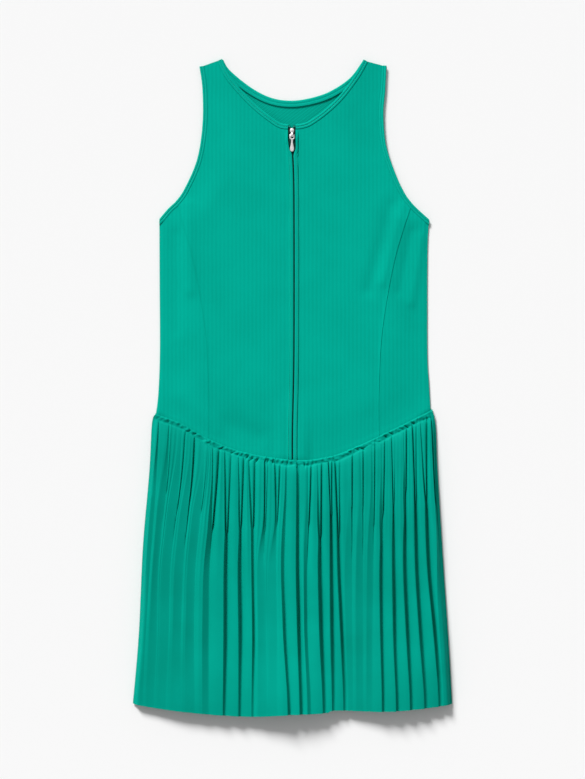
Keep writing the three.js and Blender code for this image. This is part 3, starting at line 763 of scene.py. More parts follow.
# %% [markdown]
# ## The back of the bodice
# One flat panel. Only a crescent of its inner face shows, below the neck band.

# %% Back bodice
BACK_ROWS = 140
BACK_COLUMNS = 60
BACK_TOP = 1.05
BACK_THICK = 1.0
BACK_INSET = 1.2
back_neck = moved(even(curves["neckBack"], BACK_COLUMNS), -BACK_NECK_BAND + 2)


def back_side(side):
    seam = arm_line(side, ARM_BAND - TUCK, 60, 20)
    edge_line = curves["side" + side]
    inset = BACK_INSET if side == "Left" else -BACK_INSET
    edge_line = edge_line[edge_line[:, 1] < seam[-1, 1] - 1] + (inset, 0)
    return even(np.vstack([seam, edge_line]), BACK_ROWS)


left, right = back_side("Left"), back_side("Right")
share = np.linspace(0, 1, BACK_ROWS + 1)
top_share = np.linspace(0, 1, BACK_COLUMNS + 1)
flat = left[:, None] * (1 - top_share[None, :, None]) + right[:, None] * top_share[None, :, None]
top_bend = back_neck - flat[0]
waist_bend = waist_part(left[-1, 0], right[-1, 0], top_share) - flat[-1]
flat = flat + top_bend[None] * ((1 - share)[:, None, None] ** 2) + waist_bend[None] * share[:, None, None]
x, y = flat[..., 0], flat[..., 1]
back_grid = np.dstack([x, y, np.full(x.shape, BACK_TOP)])
cloth_piece("back_bodice_cloth", back_grid, BACK_THICK, inside_knit, True)
print("back bodice:", round(pieces["back_bodice_cloth"]["area"], 3), "square metres")

# %% [markdown]
# ## The pleated skirt
# Heat-set pleats fall from a gathered waist. Below the seam each valley is two narrow slits, and lower
# down they merge into one. The table has a row for each valley, left to right, and nine columns: its
# place at four heights of the picture, the width between the two slits, then how deep it is at the
# left slit, at the right slit, in the middle and at the hem, where 1 is down to the base of the skirt.

# %% Skirt table
FOLD_HEIGHTS_PY = (480, 570, 635, 700)
VALLEY_COLUMNS = ("at_480", "at_570", "at_635", "at_700", "double", "left", "right", "middle", "hem")
VALLEYS = [
    (157, 150, 146, 143, 0, 0.4, 0.4, 0.22, 0.22),
    (168, 158, 157, 154, 3, 0.4, 0.15, 0.25, 0.25),
    (181, 170, 169, 166, 4, 0.2, 0.5, 0.25, 0.22),
    (191.5, 183, 181, 180, 3, 0.15, 1, 0.3, 0.22),
    (205, 195, 194, 195, 4, 0.15, 0.12, 0.4, 0.4),
    (215.3, 209.5, 209, 209, 6.6, 0.45, 1, 0.7, 0.6),
    (228.2, 226, 226, 225.5, 6.4, 0.6, 0.6, 0.9, 0.9),
    (241.4, 240, 241, 241, 5.7, 0.4, 1, 0.9, 0.9),
    (252.5, 253.5, 254.5, 254, 6.4, 0.6, 0.9, 0.75, 0.7),
    (266.5, 264, 266, 267, 3, 0.9, 0.3, 0.25, 0.2),
    (277.9, 276, 277, 277, 5, 0.85, 0.8, 0.25, 0.2),
    (287, 284, 285, 290, 0, 0.35, 0.35, 0.6, 0.9),
    (298.6, 298, 299.5, 302, 0, 0.9, 0.9, 1, 1),
    (309.5, 307, 307.5, 311, 3.5, 0.3, 0.9, 0.6, 0.6),
    (320, 320, 321.5, 325, 4, 0.3, 1, 1, 1),
    (330.5, 332, 332.5, 334.5, 3.9, 1, 1, 1, 0.9),
    (338, 339.5, 342.5, 346, 5.1, 1, 0.45, 0.9, 0.9),
    (351, 352, 352, 353, 3.5, 0.12, 0.9, 0.3, 0.2),
    (362, 363, 363, 363, 3, 0.15, 0.7, 0.25, 0.2),
    (373.5, 373, 372, 372, 3, 0.3, 0.6, 0.35, 0.3),
    (383, 381, 382, 384, 3, 0.15, 0.6, 0.8, 0.9),
    (393.5, 394, 395, 398, 4, 0.6, 0.12, 0.9, 1),
    (405, 405, 408, 412, 3, 0.15, 0.95, 1, 1),
    (415, 417, 421, 426.5, 4, 1, 0.5, 1, 1),
    (425, 429, 435.5, 441, 7, 0.45, 1, 1, 1),
    (434.8, 440.6, 445.3, 449.6, 3, 1, 1, 0.7, 0.1),
]
HEM_LIFT = [
    # pixels across, height of the hem in millimetres
    (133, 3), (150, 4), (180, 8.5), (205, 9.5), (250, 10), (270, 14), (283, 17.5), (306, 16.5),
    (325, 11), (346, 5), (364, 8), (386, 14), (416, 12.5), (440, 7), (452, 6),
]
print("valleys:", len(VALLEYS))

# %% [markdown]
# ## From waist to hem
# A place on the skirt is its share of the way from the waist, 0, to the hem, 1. The rows are dense
# just below the seam. A valley's track runs through its four places, and near the waist its two slits
# draw apart round a small pleat. The crests rise quickly from the seam and lift the hem in waves.

# %% Lines of the skirt
SKIRT_BASE = 4.0
BASE_RUN = 0.12
FULL_DEPTH_AT = 0.42
HEM_FROM = 0.7
HEM_SHARE = 0.3
SKIRT_EDGE_WIDTH = 7
SKIRT_LENGTH = 350
HEM_CREST = 0.32
CREST_RISE = ((0, 0.01, 0.02, 0.045, 0.11, 0.3, HEM_FROM), (0.5, 0.6, 1.8, 4, 5, 7, 8))
rng = np.random.default_rng(7)
near_waist = np.array([-0.9, -0.2, 0.4, 1, 1.7, 2.5, 3.3, 4.1, 4.9, 5.7, 6.5, 7.4, 8.4, 9.6, 11.2, 13.5])
drop = np.concatenate([near_waist / SKIRT_LENGTH, np.linspace(18 / SKIRT_LENGTH, 1, 46)])


def skirt_y(x, t):
    return waist_at(x) * (1 - t) + hem_at(x) * t


def edge_x(side, t):
    """The side edge of the skirt at each row."""
    points = curves["skirt" + side]
    y = points[0, 1] * (1 - t) + points[-1, 1] * t
    return by_height(points, y)


def valley_track(row, t):
    """Middle and half width of a valley, the depth of each slit, and the small pleat's height."""
    valley = dict(zip(VALLEY_COLUMNS, row))
    xs = to_x([valley["at_" + str(py)] for py in FOLD_HEIGHTS_PY])
    heights = -to_y(FOLD_HEIGHTS_PY)
    slope = (xs[1] - xs[0]) / (heights[1] - heights[0])
    top_x = xs[0] + slope * 0.5 * (-waist_at(xs[0]) - heights[0])
    y = waist_at(top_x) * (1 - t) + hem_at(xs[3]) * t
    x = np.interp(-y, [-waist_at(top_x), *heights], [top_x, *xs])
    x = np.convolve(np.pad(x, 3, mode="edge"), np.ones(7) / 7, mode="valid")
    lean = rng.uniform(0.2, 2.4) * (1 - smooth(t * SKIRT_LENGTH / 8))
    x = x - np.sign(x) * lean
    deep = []
    for top in (valley["left"], valley["right"]):
        depths = (top, top, valley["middle"], valley["hem"])
        deep.append(np.interp(t, (0, BASE_RUN, FULL_DEPTH_AT, 1), depths))
    tip = rng.uniform(0.24, 0.34)
    spread = np.clip(1 - t / tip, 0, 1) ** 0.8 if valley["double"] > 0 else np.zeros_like(t)
    floor_half = 0.2 + 0.6 * smooth((deep[0] - 0.7) / 0.3)
    half = np.maximum(valley["double"] * MM_PER_PX / 2 * spread, floor_half)
    small = smooth(spread * 5) * rng.uniform(0.75, 0.95)
    return x, half, deep, small


def crest_height(x, t):
    """Height of the crests over the base of the skirt, and the lift of the hem."""
    lift = np.interp(x, to_x([px for px, _ in HEM_LIFT]), [high for _, high in HEM_LIFT])
    rise = np.interp(t, *CREST_RISE)
    to_hem = mix(CREST_RISE[1][-1], lift * HEM_CREST, (t - HEM_FROM) / HEM_SHARE)
    return np.where(t > HEM_FROM, to_hem, rise), lift


def skirt_height(x, y, t, deep):
    """Height of the skirt's outer face, from how far a point lies below the crests."""
    edge = smooth(in_from_side(x, y) / SKIRT_EDGE_WIDTH)
    crest, lift = crest_height(x, t)
    base = SKIRT_BASE + lift * (0.95 - HEM_CREST) * smooth((t - 0.6) / 0.4)
    base = mix(front_under(x, y), base, smooth(t / BASE_RUN))
    z = base + (1 - deep) * crest
    return FRONT_LOW + (z - FRONT_LOW) * edge + CLOTH


print("rows from waist to hem:", len(drop))

# %% [markdown]
# ## The pleats
# A heat-set pleat is a flat facet with a sharp fold at its right edge, which then drops steeply. Near
# the waist the valleys are crisp slits, undercut by the fold, with a quick rise out of the floor. At
# the left of the skirt and in the shallow valleys the pleats are turned: a long fall, then a short
# quick rise that faces the light, which the picture shows as narrow bright lines.

# %% Columns of the pleats
RISE_AT = np.array([0.05, 0.1, 0.17, 0.25, 0.33, 0.42, 0.51, 0.6, 0.69, 0.78, 0.87, 0.94, 0.98])
FALL = ((0.0, 0.0), (0.1, 0.35), (0.3, 0.85), (0.55, 1.0), (0.8, 0.55), (1.0, 0.0))
SMALL_PLEAT = ((0.14, 0.6), (0.32, 0.88), (0.55, 1.0), (0.7, 0.92), (0.86, 0.5), (1.0, 0.0))
NARROW_FLANKS = (0.8, 2.4)
WIDE_FLANKS = (6.0, 2.4)
UNDERCUT = 1.7
RIPPLE = (0.02, 0.075)
TURNED_UP_TO = float(to_x(200))
TURNED_RUN = 25


def fold_columns(t):
    """Rows of X and of depth below the crests, from the left edge of the skirt to the right edge."""
    tracks = [valley_track(row, t) for row in VALLEYS]
    column_x, column_deep, column_start = [edge_x("Left", t)], [np.ones_like(t)], [3.0]
    before_x, before_deep, before_start = column_x[0], np.ones_like(t), 3.0
    last_edge = (edge_x("Right", t), 0, [np.ones_like(t)], None)
    for k in range(len(tracks) + 1):
        inside = k < len(tracks)
        x, half, depths, small = tracks[k] if inside else last_edge
        floor_x, deep = x - half, depths[0]
        start = rng.uniform(3.0, 8.5)
        width = floor_x - before_x
        sheer = smooth((deep - 0.35) / 0.45)
        flank = mix(rng.uniform(*NARROW_FLANKS), mix(*WIDE_FLANKS, sheer), smooth((t - 0.12) / 0.35))
        shallow = (1 - smooth((deep - 0.25) / 0.45)) * smooth((t - 0.12) / 0.45)
        at_left = (1 - smooth((floor_x - TURNED_UP_TO) / TURNED_RUN)) * smooth((t - 0.03) / 0.3)
        turned = np.maximum(at_left, shallow)
        flank = mix(np.minimum(flank, 0.42 * width), 0.66 * width, turned)
        fold_x = floor_x - flank
        crest = rng.uniform(-0.04, 0.2)
        crest = crest + 0.05 * np.sin(2 * math.pi * (t * rng.uniform(1.2, 2.4) + rng.random()))
        quick = mix(mix(5.0, 1.5, smooth((t - 0.15) / 0.4)), 2.5, turned)
        waves, phase = rng.choice((1, 1.5, 2)), rng.uniform(0, 2 * math.pi)
        ripple = rng.uniform(*RIPPLE) * (1 - 0.8 * smooth((t - 0.15) / 0.5))
        for u in RISE_AT:
            column_x.append(mix(before_x, fold_x, u))
            wave = ripple * math.sin(2 * math.pi * waves * u + phase) * math.sin(math.pi * u)
            column_deep.append(mix(before_deep, crest, 1 - (1 - u) ** quick) + wave)
            column_start.append(mix(before_start, start, u))
        under = np.minimum(UNDERCUT * smooth((deep - 0.6) / 0.3), 0.2 * width)
        for v, back in FALL:
            column_x.append(mix(fold_x, floor_x, v) - under * back)
            column_deep.append(mix(deep, crest, (1 - v) ** mix(1.3, 0.9, sheer)))
            column_start.append(start)
        if inside:
            for w, high in SMALL_PLEAT:
                column_x.append(floor_x + 2 * half * w)
                column_deep.append(mix(*depths, w) * (1 - small * high))
                column_start.append(start)
            before_x, before_deep, before_start = x + half, depths[1], start
    return np.stack(column_x, 1), np.stack(column_deep, 1), np.array(column_start)


fold_x, fold_deep, fold_start = fold_columns(drop)
grid_t = np.repeat(drop[:, None], fold_x.shape[1], 1)
fold_y = skirt_y(fold_x, grid_t)
fold_z = skirt_height(fold_x, fold_y, np.clip(grid_t, 0, 1), np.clip(fold_deep, -0.15, 1.02))
print("skirt front: rows and columns", fold_x.shape)

# %% [markdown]
# ## The gathered header
# Where the skirt is sewn on, its cloth rolls over the seam and is drawn into many small puckers, each
# a short dimple with a dome beside it. They are set at nearly even steps and varied by a seeded draw,
# because a machine gathers evenly but never exactly. The pleats start a few millimetres lower.

# %% Skirt front
SKIRT_THICK = 0.75
PUCKER_STEP_PX = 5.2
from_waist = grid_t * SKIRT_LENGTH
puckers, domes = np.zeros_like(fold_z), np.zeros_like(fold_z)
pucker_px = np.arange(158, 430, PUCKER_STEP_PX)
for px in pucker_px + rng.uniform(-1.6, 1.6, len(pucker_px)):
    middle_x = float(to_x(px))
    tilt = math.copysign(rng.uniform(0.4, 1.1), middle_x) * min(abs(middle_x) / 60, 1)
    lower = rng.uniform(3.2, 8.6)
    reach = fold_x - middle_x - tilt * (from_waist - lower)
    size = rng.choice((0.2, 0.6, 1.3, 2.6)) * mix(0.5, 1, smooth((px - 190) / 70))
    narrow, long = rng.uniform(0.8, 1.15), rng.uniform(2.2, 3.6)
    puckers += size * np.exp(-((reach / narrow) ** 2) - ((from_waist - lower) / long) ** 2)
    dome_x, dome_size = reach - rng.uniform(2.6, 4.2), rng.uniform(0.5, 1.7)
    domes += dome_size * np.exp(-((dome_x / 1.9) ** 2) - ((from_waist - lower + 2.6) / 2.0) ** 2)
roll = np.interp(from_waist, [-0.9, -0.2, 0.4, 1, 1.7, 3, 8], [-1.6, -0.9, 0.0, 0.65, 0.9, 0.7, 0.6])
uneven = 0.62 + 0.38 * np.sin(fold_x * 0.9 + 2.2 * np.sin(fold_x * 0.23))
header_z = front_top(fold_x, fold_y) + np.where(roll > 0, roll * uneven, roll)
in_header = 1 - smooth((from_waist - fold_start[None, :]) / 2.2)
inland = smooth(in_from_side(fold_x, fold_y) / 14)
fold_z = mix(fold_z, header_z, in_header) + (domes - puckers) * inland
cloth_piece("skirt_front_cloth", np.dstack([fold_x, fold_y, fold_z]), SKIRT_THICK, woven)
print("skirt front: width over the folds", round(pieces["skirt_front_cloth"]["width"], 3), "m")

# %% [markdown]
# ## The back of the skirt
# It has the same pleats, pressed flat under the front, with low folds between flat lands that rest on
# the floor. It is hidden from above, so it has only as many points as its low folds need.

# %% Skirt back
SKIRT_BACK_TOP = 1.0
SKIRT_BACK_THICK = 0.95
SKIRT_BACK_FOLD = 2.0
PER_FOLD = 8
t = np.linspace(0, 1, 40)
ends = [valley_track(row, t)[0] for row in VALLEYS]
marks = [edge_x("Left", t) + 1.0, *ends, edge_x("Right", t) - 1.0]
columns_x, columns_fold = [marks[0]], [np.zeros_like(t)]
for k in range(1, len(marks)):
    for j in range(1, PER_FOLD + 1):
        w = j / PER_FOLD
        columns_x.append(marks[k - 1] * (1 - w) + marks[k] * w)
        at_side = w < 1 if k == 1 else w == 1 and k == len(marks) - 1
        columns_fold.append(np.full_like(t, 0.0 if at_side else 1 - smooth(min(w, 1 - w) / 0.3)))
back_x, fold = np.stack(columns_x, 1), np.stack(columns_fold, 1)
fold[:, 0] = fold[:, -1] = 0
grid_t = np.repeat(t[:, None], back_x.shape[1], 1)
back_y = skirt_y(back_x, grid_t) + 2 * grid_t
low_edge = smooth((in_from_side(back_x, back_y) - 6) / SKIRT_EDGE_WIDTH)
back_z = SKIRT_BACK_TOP + fold * SKIRT_BACK_FOLD * low_edge * smooth(grid_t / BASE_RUN)
cloth_piece("skirt_back_cloth", np.dstack([back_x, back_y, back_z]), SKIRT_BACK_THICK, woven)
print("skirt back: width over the folds", round(pieces["skirt_back_cloth"]["width"], 3), "m")

# %% [markdown]
# ## One small bar, many times
# A zip's coil and a row of stitches are both one small form repeated at equal steps. They are far too
# many to place by hand, so a small Geometry Nodes tree does it: a line in, bars along it out. The
# sizes are named inputs, so the same tree serves the coil and the thread.

# %% Repeat tree
def repeat_tree(name):
    """Puts a small rounded bar at equal steps along a line. Sizes are named inputs."""
    tree = bpy.data.node_groups.new(name, "GeometryNodeTree")
    face = tree.interface
    face.new_socket("Line", in_out="INPUT", socket_type="NodeSocketGeometry")
    for label, value in (("Step", 0.003), ("Bar length", 0.002), ("Bar width", 0.0004), ("Turn", 0.0)):
        socket = face.new_socket(label, in_out="INPUT", socket_type="NodeSocketFloat")
        socket.default_value = value
    face.new_socket("Finish", in_out="INPUT", socket_type="NodeSocketMaterial")
    face.new_socket("Bars", in_out="OUTPUT", socket_type="NodeSocketGeometry")
    add = tree.nodes.new
    source, result = add("NodeGroupInput"), add("NodeGroupOutput")
    to_curve = add("GeometryNodeMeshToCurve")
    steps = add("GeometryNodeResampleCurve")
    steps.mode = "LENGTH"
    bar = add("GeometryNodeMeshUVSphere")
    for label, value in (("Segments", 6), ("Rings", 5), ("Radius", 0.5)):
        bar.inputs[label].default_value = value
    size, spin_vector = add("ShaderNodeCombineXYZ"), add("ShaderNodeCombineXYZ")
    tangent = add("GeometryNodeInputTangent")
    aim = add("FunctionNodeAlignRotationToVector")
    aim.axis = "X"
    turn = add("FunctionNodeRotateRotation")
    turn.rotation_space = "LOCAL"
    spin = add("FunctionNodeEulerToRotation")
    place = add("GeometryNodeInstanceOnPoints")
    real = add("GeometryNodeRealizeInstances")
    finish = add("GeometryNodeSetMaterial")
    wire(
        tree,
        (source, "Line", to_curve, "Mesh"),
        (to_curve, "Curve", steps, "Curve"),
        (source, "Step", steps, "Length"),
        (source, "Bar length", size, "X"),
        (source, "Bar width", size, "Y"),
        (source, "Bar width", size, "Z"),
        (tangent, "Tangent", aim, "Vector"),
        (source, "Turn", spin_vector, "Z"),
        (spin_vector, "Vector", spin, "Euler"),
        (aim, "Rotation", turn, "Rotation"),
        (spin, "Rotation", turn, "Rotate By"),
        (steps, "Curve", place, "Points"),
        (bar, "Mesh", place, "Instance"),
        (turn, "Rotation", place, "Rotation"),
        (size, "Vector", place, "Scale"),
        (place, "Instances", real, "Geometry"),
        (real, "Geometry", finish, "Geometry"),
        (source, "Finish", finish, "Material"),
        (finish, "Geometry", result, "Bars"),
    )
    return tree


bars_along_line = repeat_tree("bars_along_line")
print("nodes in the tree:", len(bars_along_line.nodes))

# %% [markdown]
# ## Running the tree
# The modifier's inputs are set by their socket names before the first evaluation. The result is kept
# as a plain mesh, and the modifier and its line are removed, so that nothing is left to compute.

# %% Repeat along a line
def repeat_along(name, lines, material, step, length, width, turn=0.0):
    """Runs the tree on lines of points, in millimetres, and keeps the result as a plain mesh."""
    verts, edges = [], []
    for points in lines:
        first = len(verts)
        verts += (points * MM).tolist()
        edges += [(first + i, first + i + 1) for i in range(len(points) - 1)]
    mesh = bpy.data.meshes.new(name + "_line")
    mesh.from_pydata(verts, edges, [])
    holder = bpy.data.objects.new(name + "_line", mesh)
    bpy.context.scene.collection.objects.link(holder)
    modifier = holder.modifiers.new("bars", "NODES")
    modifier.node_group = bars_along_line
    values = {"Step": step * MM, "Bar length": length * MM, "Bar width": width * MM}
    values |= {"Turn": turn, "Finish": material}
    for item in bars_along_line.interface.items_tree:
        if item.in_out == "INPUT" and item.name in values:
            modifier[item.identifier] = values[item.name]
    seen = holder.evaluated_get(bpy.context.evaluated_depsgraph_get())
    plain = bpy.data.meshes.new_from_object(seen)
    plain.name = name
    plain.shade_smooth()
    obj = bpy.data.objects.new(name, plain)
    bpy.context.scene.collection.objects.link(obj)
    holder.modifiers.remove(modifier)
    bpy.data.objects.remove(holder)
    return obj


print("inputs by identifier:", [item.identifier for item in bars_along_line.interface.items_tree])

# %% [markdown]
# ## The zip tapes
# Two woven tapes lie under the front edges. Above the slider they part by a few millimetres.

# %% Zip tapes
TAPE_TOP = 3.8
TAPE_WIDTH = 12
TAPE_THICK = 0.9
TAPE_COLUMNS = 9
zip_line = even(curves["zip"], 160)
for side, sign in SIDES:
    near = np.interp(zip_line[:, 1], [to_y(154), to_y(140)], [0.25, 1.7])[:, None]
    share = np.linspace(0, 1, TAPE_COLUMNS)[None, :]
    x = zip_line[:, :1] + sign * (near + (TAPE_WIDTH - near) * share)
    y = np.repeat(zip_line[:, 1:], TAPE_COLUMNS, 1)
    tape_grid = np.dstack([x, y, np.full(x.shape, TAPE_TOP)])
    cloth_piece("zip_tape_" + side.lower() + "_cloth", tape_grid, TAPE_THICK, tape_cloth)
print("tapes are", round(pieces["zip_tape_left_cloth"]["length"], 3), "m long")

# %% [markdown]
# ## The coil
# Between the tapes runs the nylon coil: two rows of fine loops, half a step apart, that lock into
# each other. Above the slider the rows are parted, so more rows of loops fill the space under it.
# Its colour is nearly black, which is painted shade for the deep gap between the folded edges.

# %% Coil
COIL_STEP = 1.15
COIL_TOP = 3.95
COIL_ROW = 0.45
PARTED_ROWS = (1.7, 2.9, 4.1)
LOOP_LENGTH = 1.7
LOOP_WIDTH = 0.62
LOOP_TURN = math.radians(84)
# Nearly black nylon: painted shade for the dark gap between the folded edges of the zip.
coil_nylon_painted_shade = speckled_material("coil_nylon_painted_shade", (0.0005, 0.03, 0.024), (0.001, 0.06, 0.048), 900.0, 0.45)
coil_lines = []
closed = zip_line[zip_line[:, 1] < to_y(128)]
for k, sign in enumerate((-1, 1)):
    start = closed + (0, 0.5 * k * COIL_STEP)
    parted = start[start[:, 1] > to_y(152.5)]
    for points, reach in [(start, COIL_ROW), *[(parted, reach) for reach in PARTED_ROWS]]:
        heights = np.full(len(points), COIL_TOP)
        coil_lines.append(np.column_stack([points[:, 0] + sign * reach, points[:, 1], heights]))
coil = repeat_along("zip_coil", coil_lines, coil_nylon_painted_shade, COIL_STEP, LOOP_LENGTH, LOOP_WIDTH, LOOP_TURN)
print("coil faces:", len(coil.data.polygons))

# %% [markdown]
# ## Bright metal
# The slider is plated and polished, and in the picture its tab is nearly white while its body is
# nearly black, because they mirror different parts of the room. One metal does both: below the top of
# the body, read from the height in the object, its colour is darkened. That darkening is painted shade
# and a painted dark reflection, for the recess round the body and the dark ceiling it mirrors.

# %% Metal
# Below this height the metal's colour is scaled far down: painted shade and a painted dark reflection on
# the slider's body.
BODY_TOP = 0.0053
BODY_PAINTED_SHADE = 0.04
metal, metal_tree, metal_shader = new_material("bright_metal")
metal_place = add_node(metal_tree, "ShaderNodeTexCoord")
metal_noise = add_node(metal_tree, "ShaderNodeTexNoise", Scale=700.0, Detail=3.0)
metal_rough = add_node(metal_tree, "ShaderNodeMapRange", **{"To Min": 0.22, "To Max": 0.36})
metal_tint = two_shades(metal_tree, (0.9, 0.86, 0.87), (1.0, 0.96, 0.97))
metal_parts = add_node(metal_tree, "ShaderNodeSeparateXYZ")
body_range = {"From Min": BODY_TOP, "From Max": BODY_TOP + 0.0003, "To Min": BODY_PAINTED_SHADE, "To Max": 1.0}
metal_painted_shade = add_node(metal_tree, "ShaderNodeMapRange", **body_range)
metal_mix = add_node(metal_tree, "ShaderNodeVectorMath", operation="SCALE")
wire(
    metal_tree,
    (metal_place, "Object", metal_noise, "Vector"),
    (metal_noise, "Fac", metal_rough, "Value"),
    (metal_rough, "Result", metal_shader, "Roughness"),
    (metal_noise, "Fac", metal_tint, "Fac"),
    (metal_place, "Object", metal_parts, "Vector"),
    (metal_parts, "Z", metal_painted_shade, "Value"),
    (metal_tint, "Color", metal_mix, 0),
    (metal_painted_shade, "Result", metal_mix, "Scale"),
    (metal_mix, "Vector", metal_shader, "Base Color"),
)
metal_shader.inputs["Metallic"].default_value = 0.5
print("metal gets bright above", BODY_TOP, "m")

# %% [markdown]
# ## Soft edges on the solids
# The slider and the stops are the solids of the frame, whose working shapes are right. Their edges get
# a small bevel, because a die-cast edge is never sharp and a bevel catches the light.

# %% Bevelled solids
SMOOTH_FACE = math.radians(1)
BEVEL_FROM = math.radians(32)


def bevelled(node, width_mm, name, material):
    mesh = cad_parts[node].data.copy()
    mesh.name = name
    form = bmesh.new()
    form.from_mesh(mesh)
    bmesh.ops.remove_doubles(form, verts=form.verts, dist=1e-6)
    bmesh.ops.dissolve_limit(form, angle_limit=SMOOTH_FACE, verts=form.verts, edges=form.edges)
    form.to_mesh(mesh)
    form.free()
    mesh.materials.clear()
    mesh.materials.append(material)
    obj = bpy.data.objects.new(name, mesh)
    bpy.context.scene.collection.objects.link(obj)
    bevel = obj.modifiers.new("edge", "BEVEL")
    bevel.width = width_mm * MM
    bevel.segments = 2
    bevel.limit_method = "ANGLE"
    bevel.angle_limit = BEVEL_FROM
    mesh.shade_smooth()
    return obj


print("a bevel starts at", round(math.degrees(BEVEL_FROM)), "degrees")

# %% [markdown]
# ## The pull tab
# It is cast with a rounded face, so it is made again here: an eye that goes round the slider's bridge,
# with a bar across it, and a teardrop whose cross-sections are ellipses. Each is a row of rings with
# faces between them.

# %% Pull tab
PIVOT = (-0.7, 332.3, 6.2)
TAB_HALF_THICK = 0.7
TAB_OUTLINE = [
    (-21.6, 0.35), (-20.9, 1.7), (-19.4, 2.5), (-17.6, 2.65), (-15.4, 2.3), (-12.5, 1.7), (-9.6, 1.25),
    (-6.4, 1.3), (-5.2, 2.3), (-4.3, 3.0),
]
EYE_LINE = [(-2.35, 0.1), (-2.55, -2.7), (-2.1, -4.4), (0, -4.95), (2.1, -4.4), (2.55, -2.7), (2.35, 0.1)]
EYE_HALF_WIDE = 0.85
TAB_ROUND = 24


def tube(rings):
    """Faces round a row of closed rings, with both ends closed."""
    around = rings.shape[1]
    index = np.arange(rings.shape[0] * around).reshape(rings.shape[:2])
    ahead = np.roll(index, -1, 1)
    faces = np.stack([index[:-1], ahead[:-1], ahead[1:], index[1:]], -1).reshape(-1, 4).tolist()
    return faces + [index[0][::-1].tolist(), index[-1].tolist()]


def outward(obj):
    form = bmesh.new()
    form.from_mesh(obj.data)
    bmesh.ops.recalc_face_normals(form, faces=form.faces)
    form.to_mesh(obj.data)
    form.free()
    return obj


def joined(name, parts, material):
    """Closed forms merged into one mesh object."""
    verts, faces = [], []
    for part_verts, part_faces in parts:
        faces += [[i + len(verts) for i in face] for face in part_faces]
        verts += part_verts.reshape(-1, 3).tolist()
    return outward(new_object(name, verts, faces, material))


outline = spline(TAB_OUTLINE)[::8]
turn = np.linspace(0, 2 * math.pi, TAB_ROUND, endpoint=False)
drop_rings = np.stack([
    outline[:, 1:] * np.cos(turn),
    np.repeat(outline[:, :1], TAB_ROUND, 1),
    TAB_HALF_THICK * np.minimum(1, outline[:, 1:] / 1.2) * np.sin(turn),
], -1)
eye_line = spline(EYE_LINE)[::8]
way = np.gradient(eye_line, axis=0)
way /= np.linalg.norm(way, axis=1, keepdims=True)
eye_rings = np.stack([
    eye_line[:, :1] - way[:, 1:] * EYE_HALF_WIDE * np.cos(turn),
    eye_line[:, 1:] + way[:, :1] * EYE_HALF_WIDE * np.cos(turn),
    np.repeat((TAB_HALF_THICK * np.sin(turn))[None], len(eye_line), 0),
], -1)
bar_x = np.array([-3.3, -3.1, 3.1, 3.3])[:, None]
bar_radius = np.array([0.5, 0.7, 0.7, 0.5])[:, None]
bar_rings = np.stack([
    np.repeat(bar_x, TAB_ROUND, 1), bar_radius * np.cos(turn), bar_radius * np.sin(turn),
], -1)
tab_parts = [(rings + np.array(PIVOT), tube(rings)) for rings in (drop_rings, eye_rings, bar_rings)]
pull_tab = joined("pull_tab_metal", tab_parts, metal)
print("pull tab faces:", len(pull_tab.data.polygons))

# %% [markdown]
# ## Slider and stops
# The stops are small clamps at the top of each tape, lacquered in the colour of the cloth. Each metal
# piece is kept under the name of the node whose place it takes.

# %% Slider and stops
lacquer = speckled_material("lacquer", (0.0006, 0.2, 0.15), (0.001, 0.26, 0.19), 3000.0, 0.4)
metal_pieces = {
    "zip_slider": bevelled("zip_slider", 0.2, "slider_metal", metal),
    "zip_pull": pull_tab,
    "zip_stop_left": bevelled("zip_stop_left", 0.3, "stop_left_metal", lacquer),
    "zip_stop_right": bevelled("zip_stop_right", 0.3, "stop_right_metal", lacquer),
}
print("metal pieces:", len(metal_pieces))

# %% [markdown]
# ## Stitches
# Rows of topstitching hold the bands and the turned edges beside the zip. One tree, used again, lays
# a thread bar at each step of a line that follows the cloth's surface.

# %% Thread
thread = speckled_material("thread", (0.001, 0.36, 0.26), (0.002, 0.46, 0.34), 2500.0, 0.6)
STITCH_STEP = 2.9
STITCH_LENGTH = 2.2
THREAD_WIDTH = 0.45


def on_front(points, proud):
    """A line laid on the front, proud of its face."""
    return np.column_stack([points, front_top(points[:, 0], points[:, 1]) + proud])


stitch_lines = []
for side, sign in SIDES:
    neck = even(curves["neck" + side], 60)
    stitch_lines.append(on_front(moved(neck, sign * NECK_BAND * GROOVE_AT), 0.25))
    stitch_lines.append(on_front(arm_line(side, ARM_BAND * GROOVE_AT, 80, 24), 0.05))
    inner = front_lines[side]["inner"][NECK_ROWS:]
    inner = inner[inner[:, 1] < to_y(156)]
    stitch_lines.append(on_front(inner + (sign * (PLACKET_AT[-1][1] - 2), 0), PLACKET_HIGH - 0.12))
stitches = repeat_along("topstitching", stitch_lines, thread, STITCH_STEP, STITCH_LENGTH, THREAD_WIDTH)
print("stitch faces:", len(stitches.data.polygons))

# %% [markdown]
# ## Every piece rides a body
# All cloth, the coil, the stitches, the slider and the stops move with the dress. The pull tab moves
# with its own body. Each solid that a finer piece replaces is hidden. A slot name is looked up for
# each cloth piece, but nothing uses it. The pull tab moves with its own body. What lies on another piece
# says so.

# %% Ride and replace
SLOT_OF = {"back_bodice": "inside_cloth", "zip_tape": "inside_cloth", "skirt": "skirt_cloth"}
for name, piece in pieces.items():
    obj = piece["object"]
    node = name.removesuffix("_cloth")
    slot = next((slot for start, slot in SLOT_OF.items() if node.startswith(start)), "bodice_cloth")
    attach(obj, "dress")
    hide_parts(node)
for node, obj in metal_pieces.items():
    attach(obj, "pull" if node == "zip_pull" else "dress")
    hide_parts(node)
for obj, slot in ((coil, "inside_cloth"), (stitches, "bodice_cloth")):
    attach(obj, "dress")
print("pieces on bodies:", len(pieces) + len(metal_pieces) + 2)

# %% [markdown]
# ## The floor
# The dress lies on a plain pale floor, matt and wide enough to fill the view from every side.

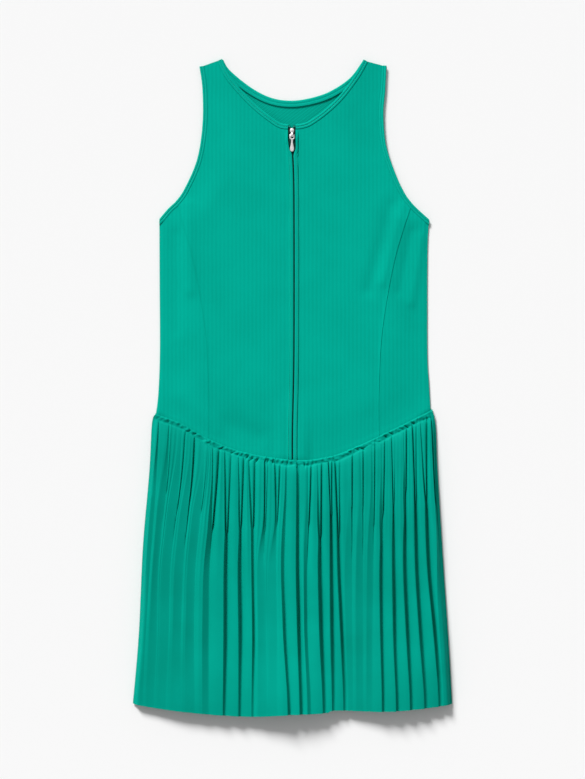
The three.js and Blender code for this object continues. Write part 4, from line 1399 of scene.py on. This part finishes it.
# %% Floor
FLOOR_HALF = 6000.0
floor_finish = speckled_material("pale_floor", (0.9, 0.9, 0.9), (0.92, 0.92, 0.92), 0.25, 0.9, 0.0)
floor_corners = [(x * FLOOR_HALF, y * FLOOR_HALF, 0) for x, y in ((-1, -1), (1, -1), (1, 1), (-1, 1))]
floor = new_object("floor", floor_corners, [(0, 1, 2, 3)], floor_finish)
print("floor width:", 2 * FLOOR_HALF * MM, "m")

# %% [markdown]
# ## Light
# A broad light from the top and a little from the left gives soft shadows below and to the right, and
# brightens what faces it. The rest comes from a white room. Its ceiling is dark in a ring, so folds
# seen from above keep their depth, and has a small bright cap overhead that the metal mirrors.

# %% Light
scene = bpy.context.scene
scene.view_settings.view_transform = "Standard"
KEY_FROM = (-0.5, 1.0, 0.59)
KEY_SOFT = 18
KEY_STRENGTH = 4.6
SKY_STRENGTH = 0.53
world = bpy.data.worlds.new("studio")
world.use_nodes = True
sky = world.node_tree
sky_place = sky.nodes.new("ShaderNodeTexCoord")
sky_parts = sky.nodes.new("ShaderNodeSeparateXYZ")
sky_ramp = two_shades(sky, (1, 1, 1), (0.08, 0.08, 0.08), (0.55, 0.92))
for position, bright in ((0.955, 0.08), (0.965, 1.1)):
    step = sky_ramp.color_ramp.elements.new(position)
    step.color = (bright, bright, bright, 1)
background = sky.nodes["Background"]
wire(
    sky,
    (sky_place, "Generated", sky_parts, "Vector"),
    (sky_parts, "Z", sky_ramp, "Fac"),
    (sky_ramp, "Color", background, "Color"),
)
background.inputs["Strength"].default_value = SKY_STRENGTH
scene.world = world

key_light = bpy.data.lights.new("key", "SUN")
key_light.angle = math.radians(KEY_SOFT)
key_light.energy = KEY_STRENGTH
key = bpy.data.objects.new("key", key_light)
key.rotation_euler = Vector(KEY_FROM).to_track_quat("Z", "Y").to_euler()
scene.collection.objects.link(key)
key_slope = math.degrees(math.asin(KEY_FROM[2] / Vector(KEY_FROM).length))
print("the light comes down at", round(key_slope), "degrees")

# %% [markdown]
# ## Camera
# It looks straight down from where the picture's height just fills a long lens, which keeps the raised
# hem and the low neck at nearly one scale.

# %% Camera
LENS = 120.0
SENSOR = 36.0
camera_data = bpy.data.cameras.new("camera")
camera_data.lens = LENS
camera_data.sensor_fit = "VERTICAL"
camera_data.sensor_height = SENSOR
frame_height = IMAGE_SIZE[1] * MM_PER_PX * MM
camera = bpy.data.objects.new("camera", camera_data)
middle = line([(IMAGE_SIZE[0] / 2, IMAGE_SIZE[1] / 2)])[0] * MM
camera.location = (middle[0], middle[1], frame_height * LENS / SENSOR)
camera_data.clip_end = 100.0
scene.collection.objects.link(camera)
scene.camera = camera
print("camera height:", round(camera.location.z, 3), "m")
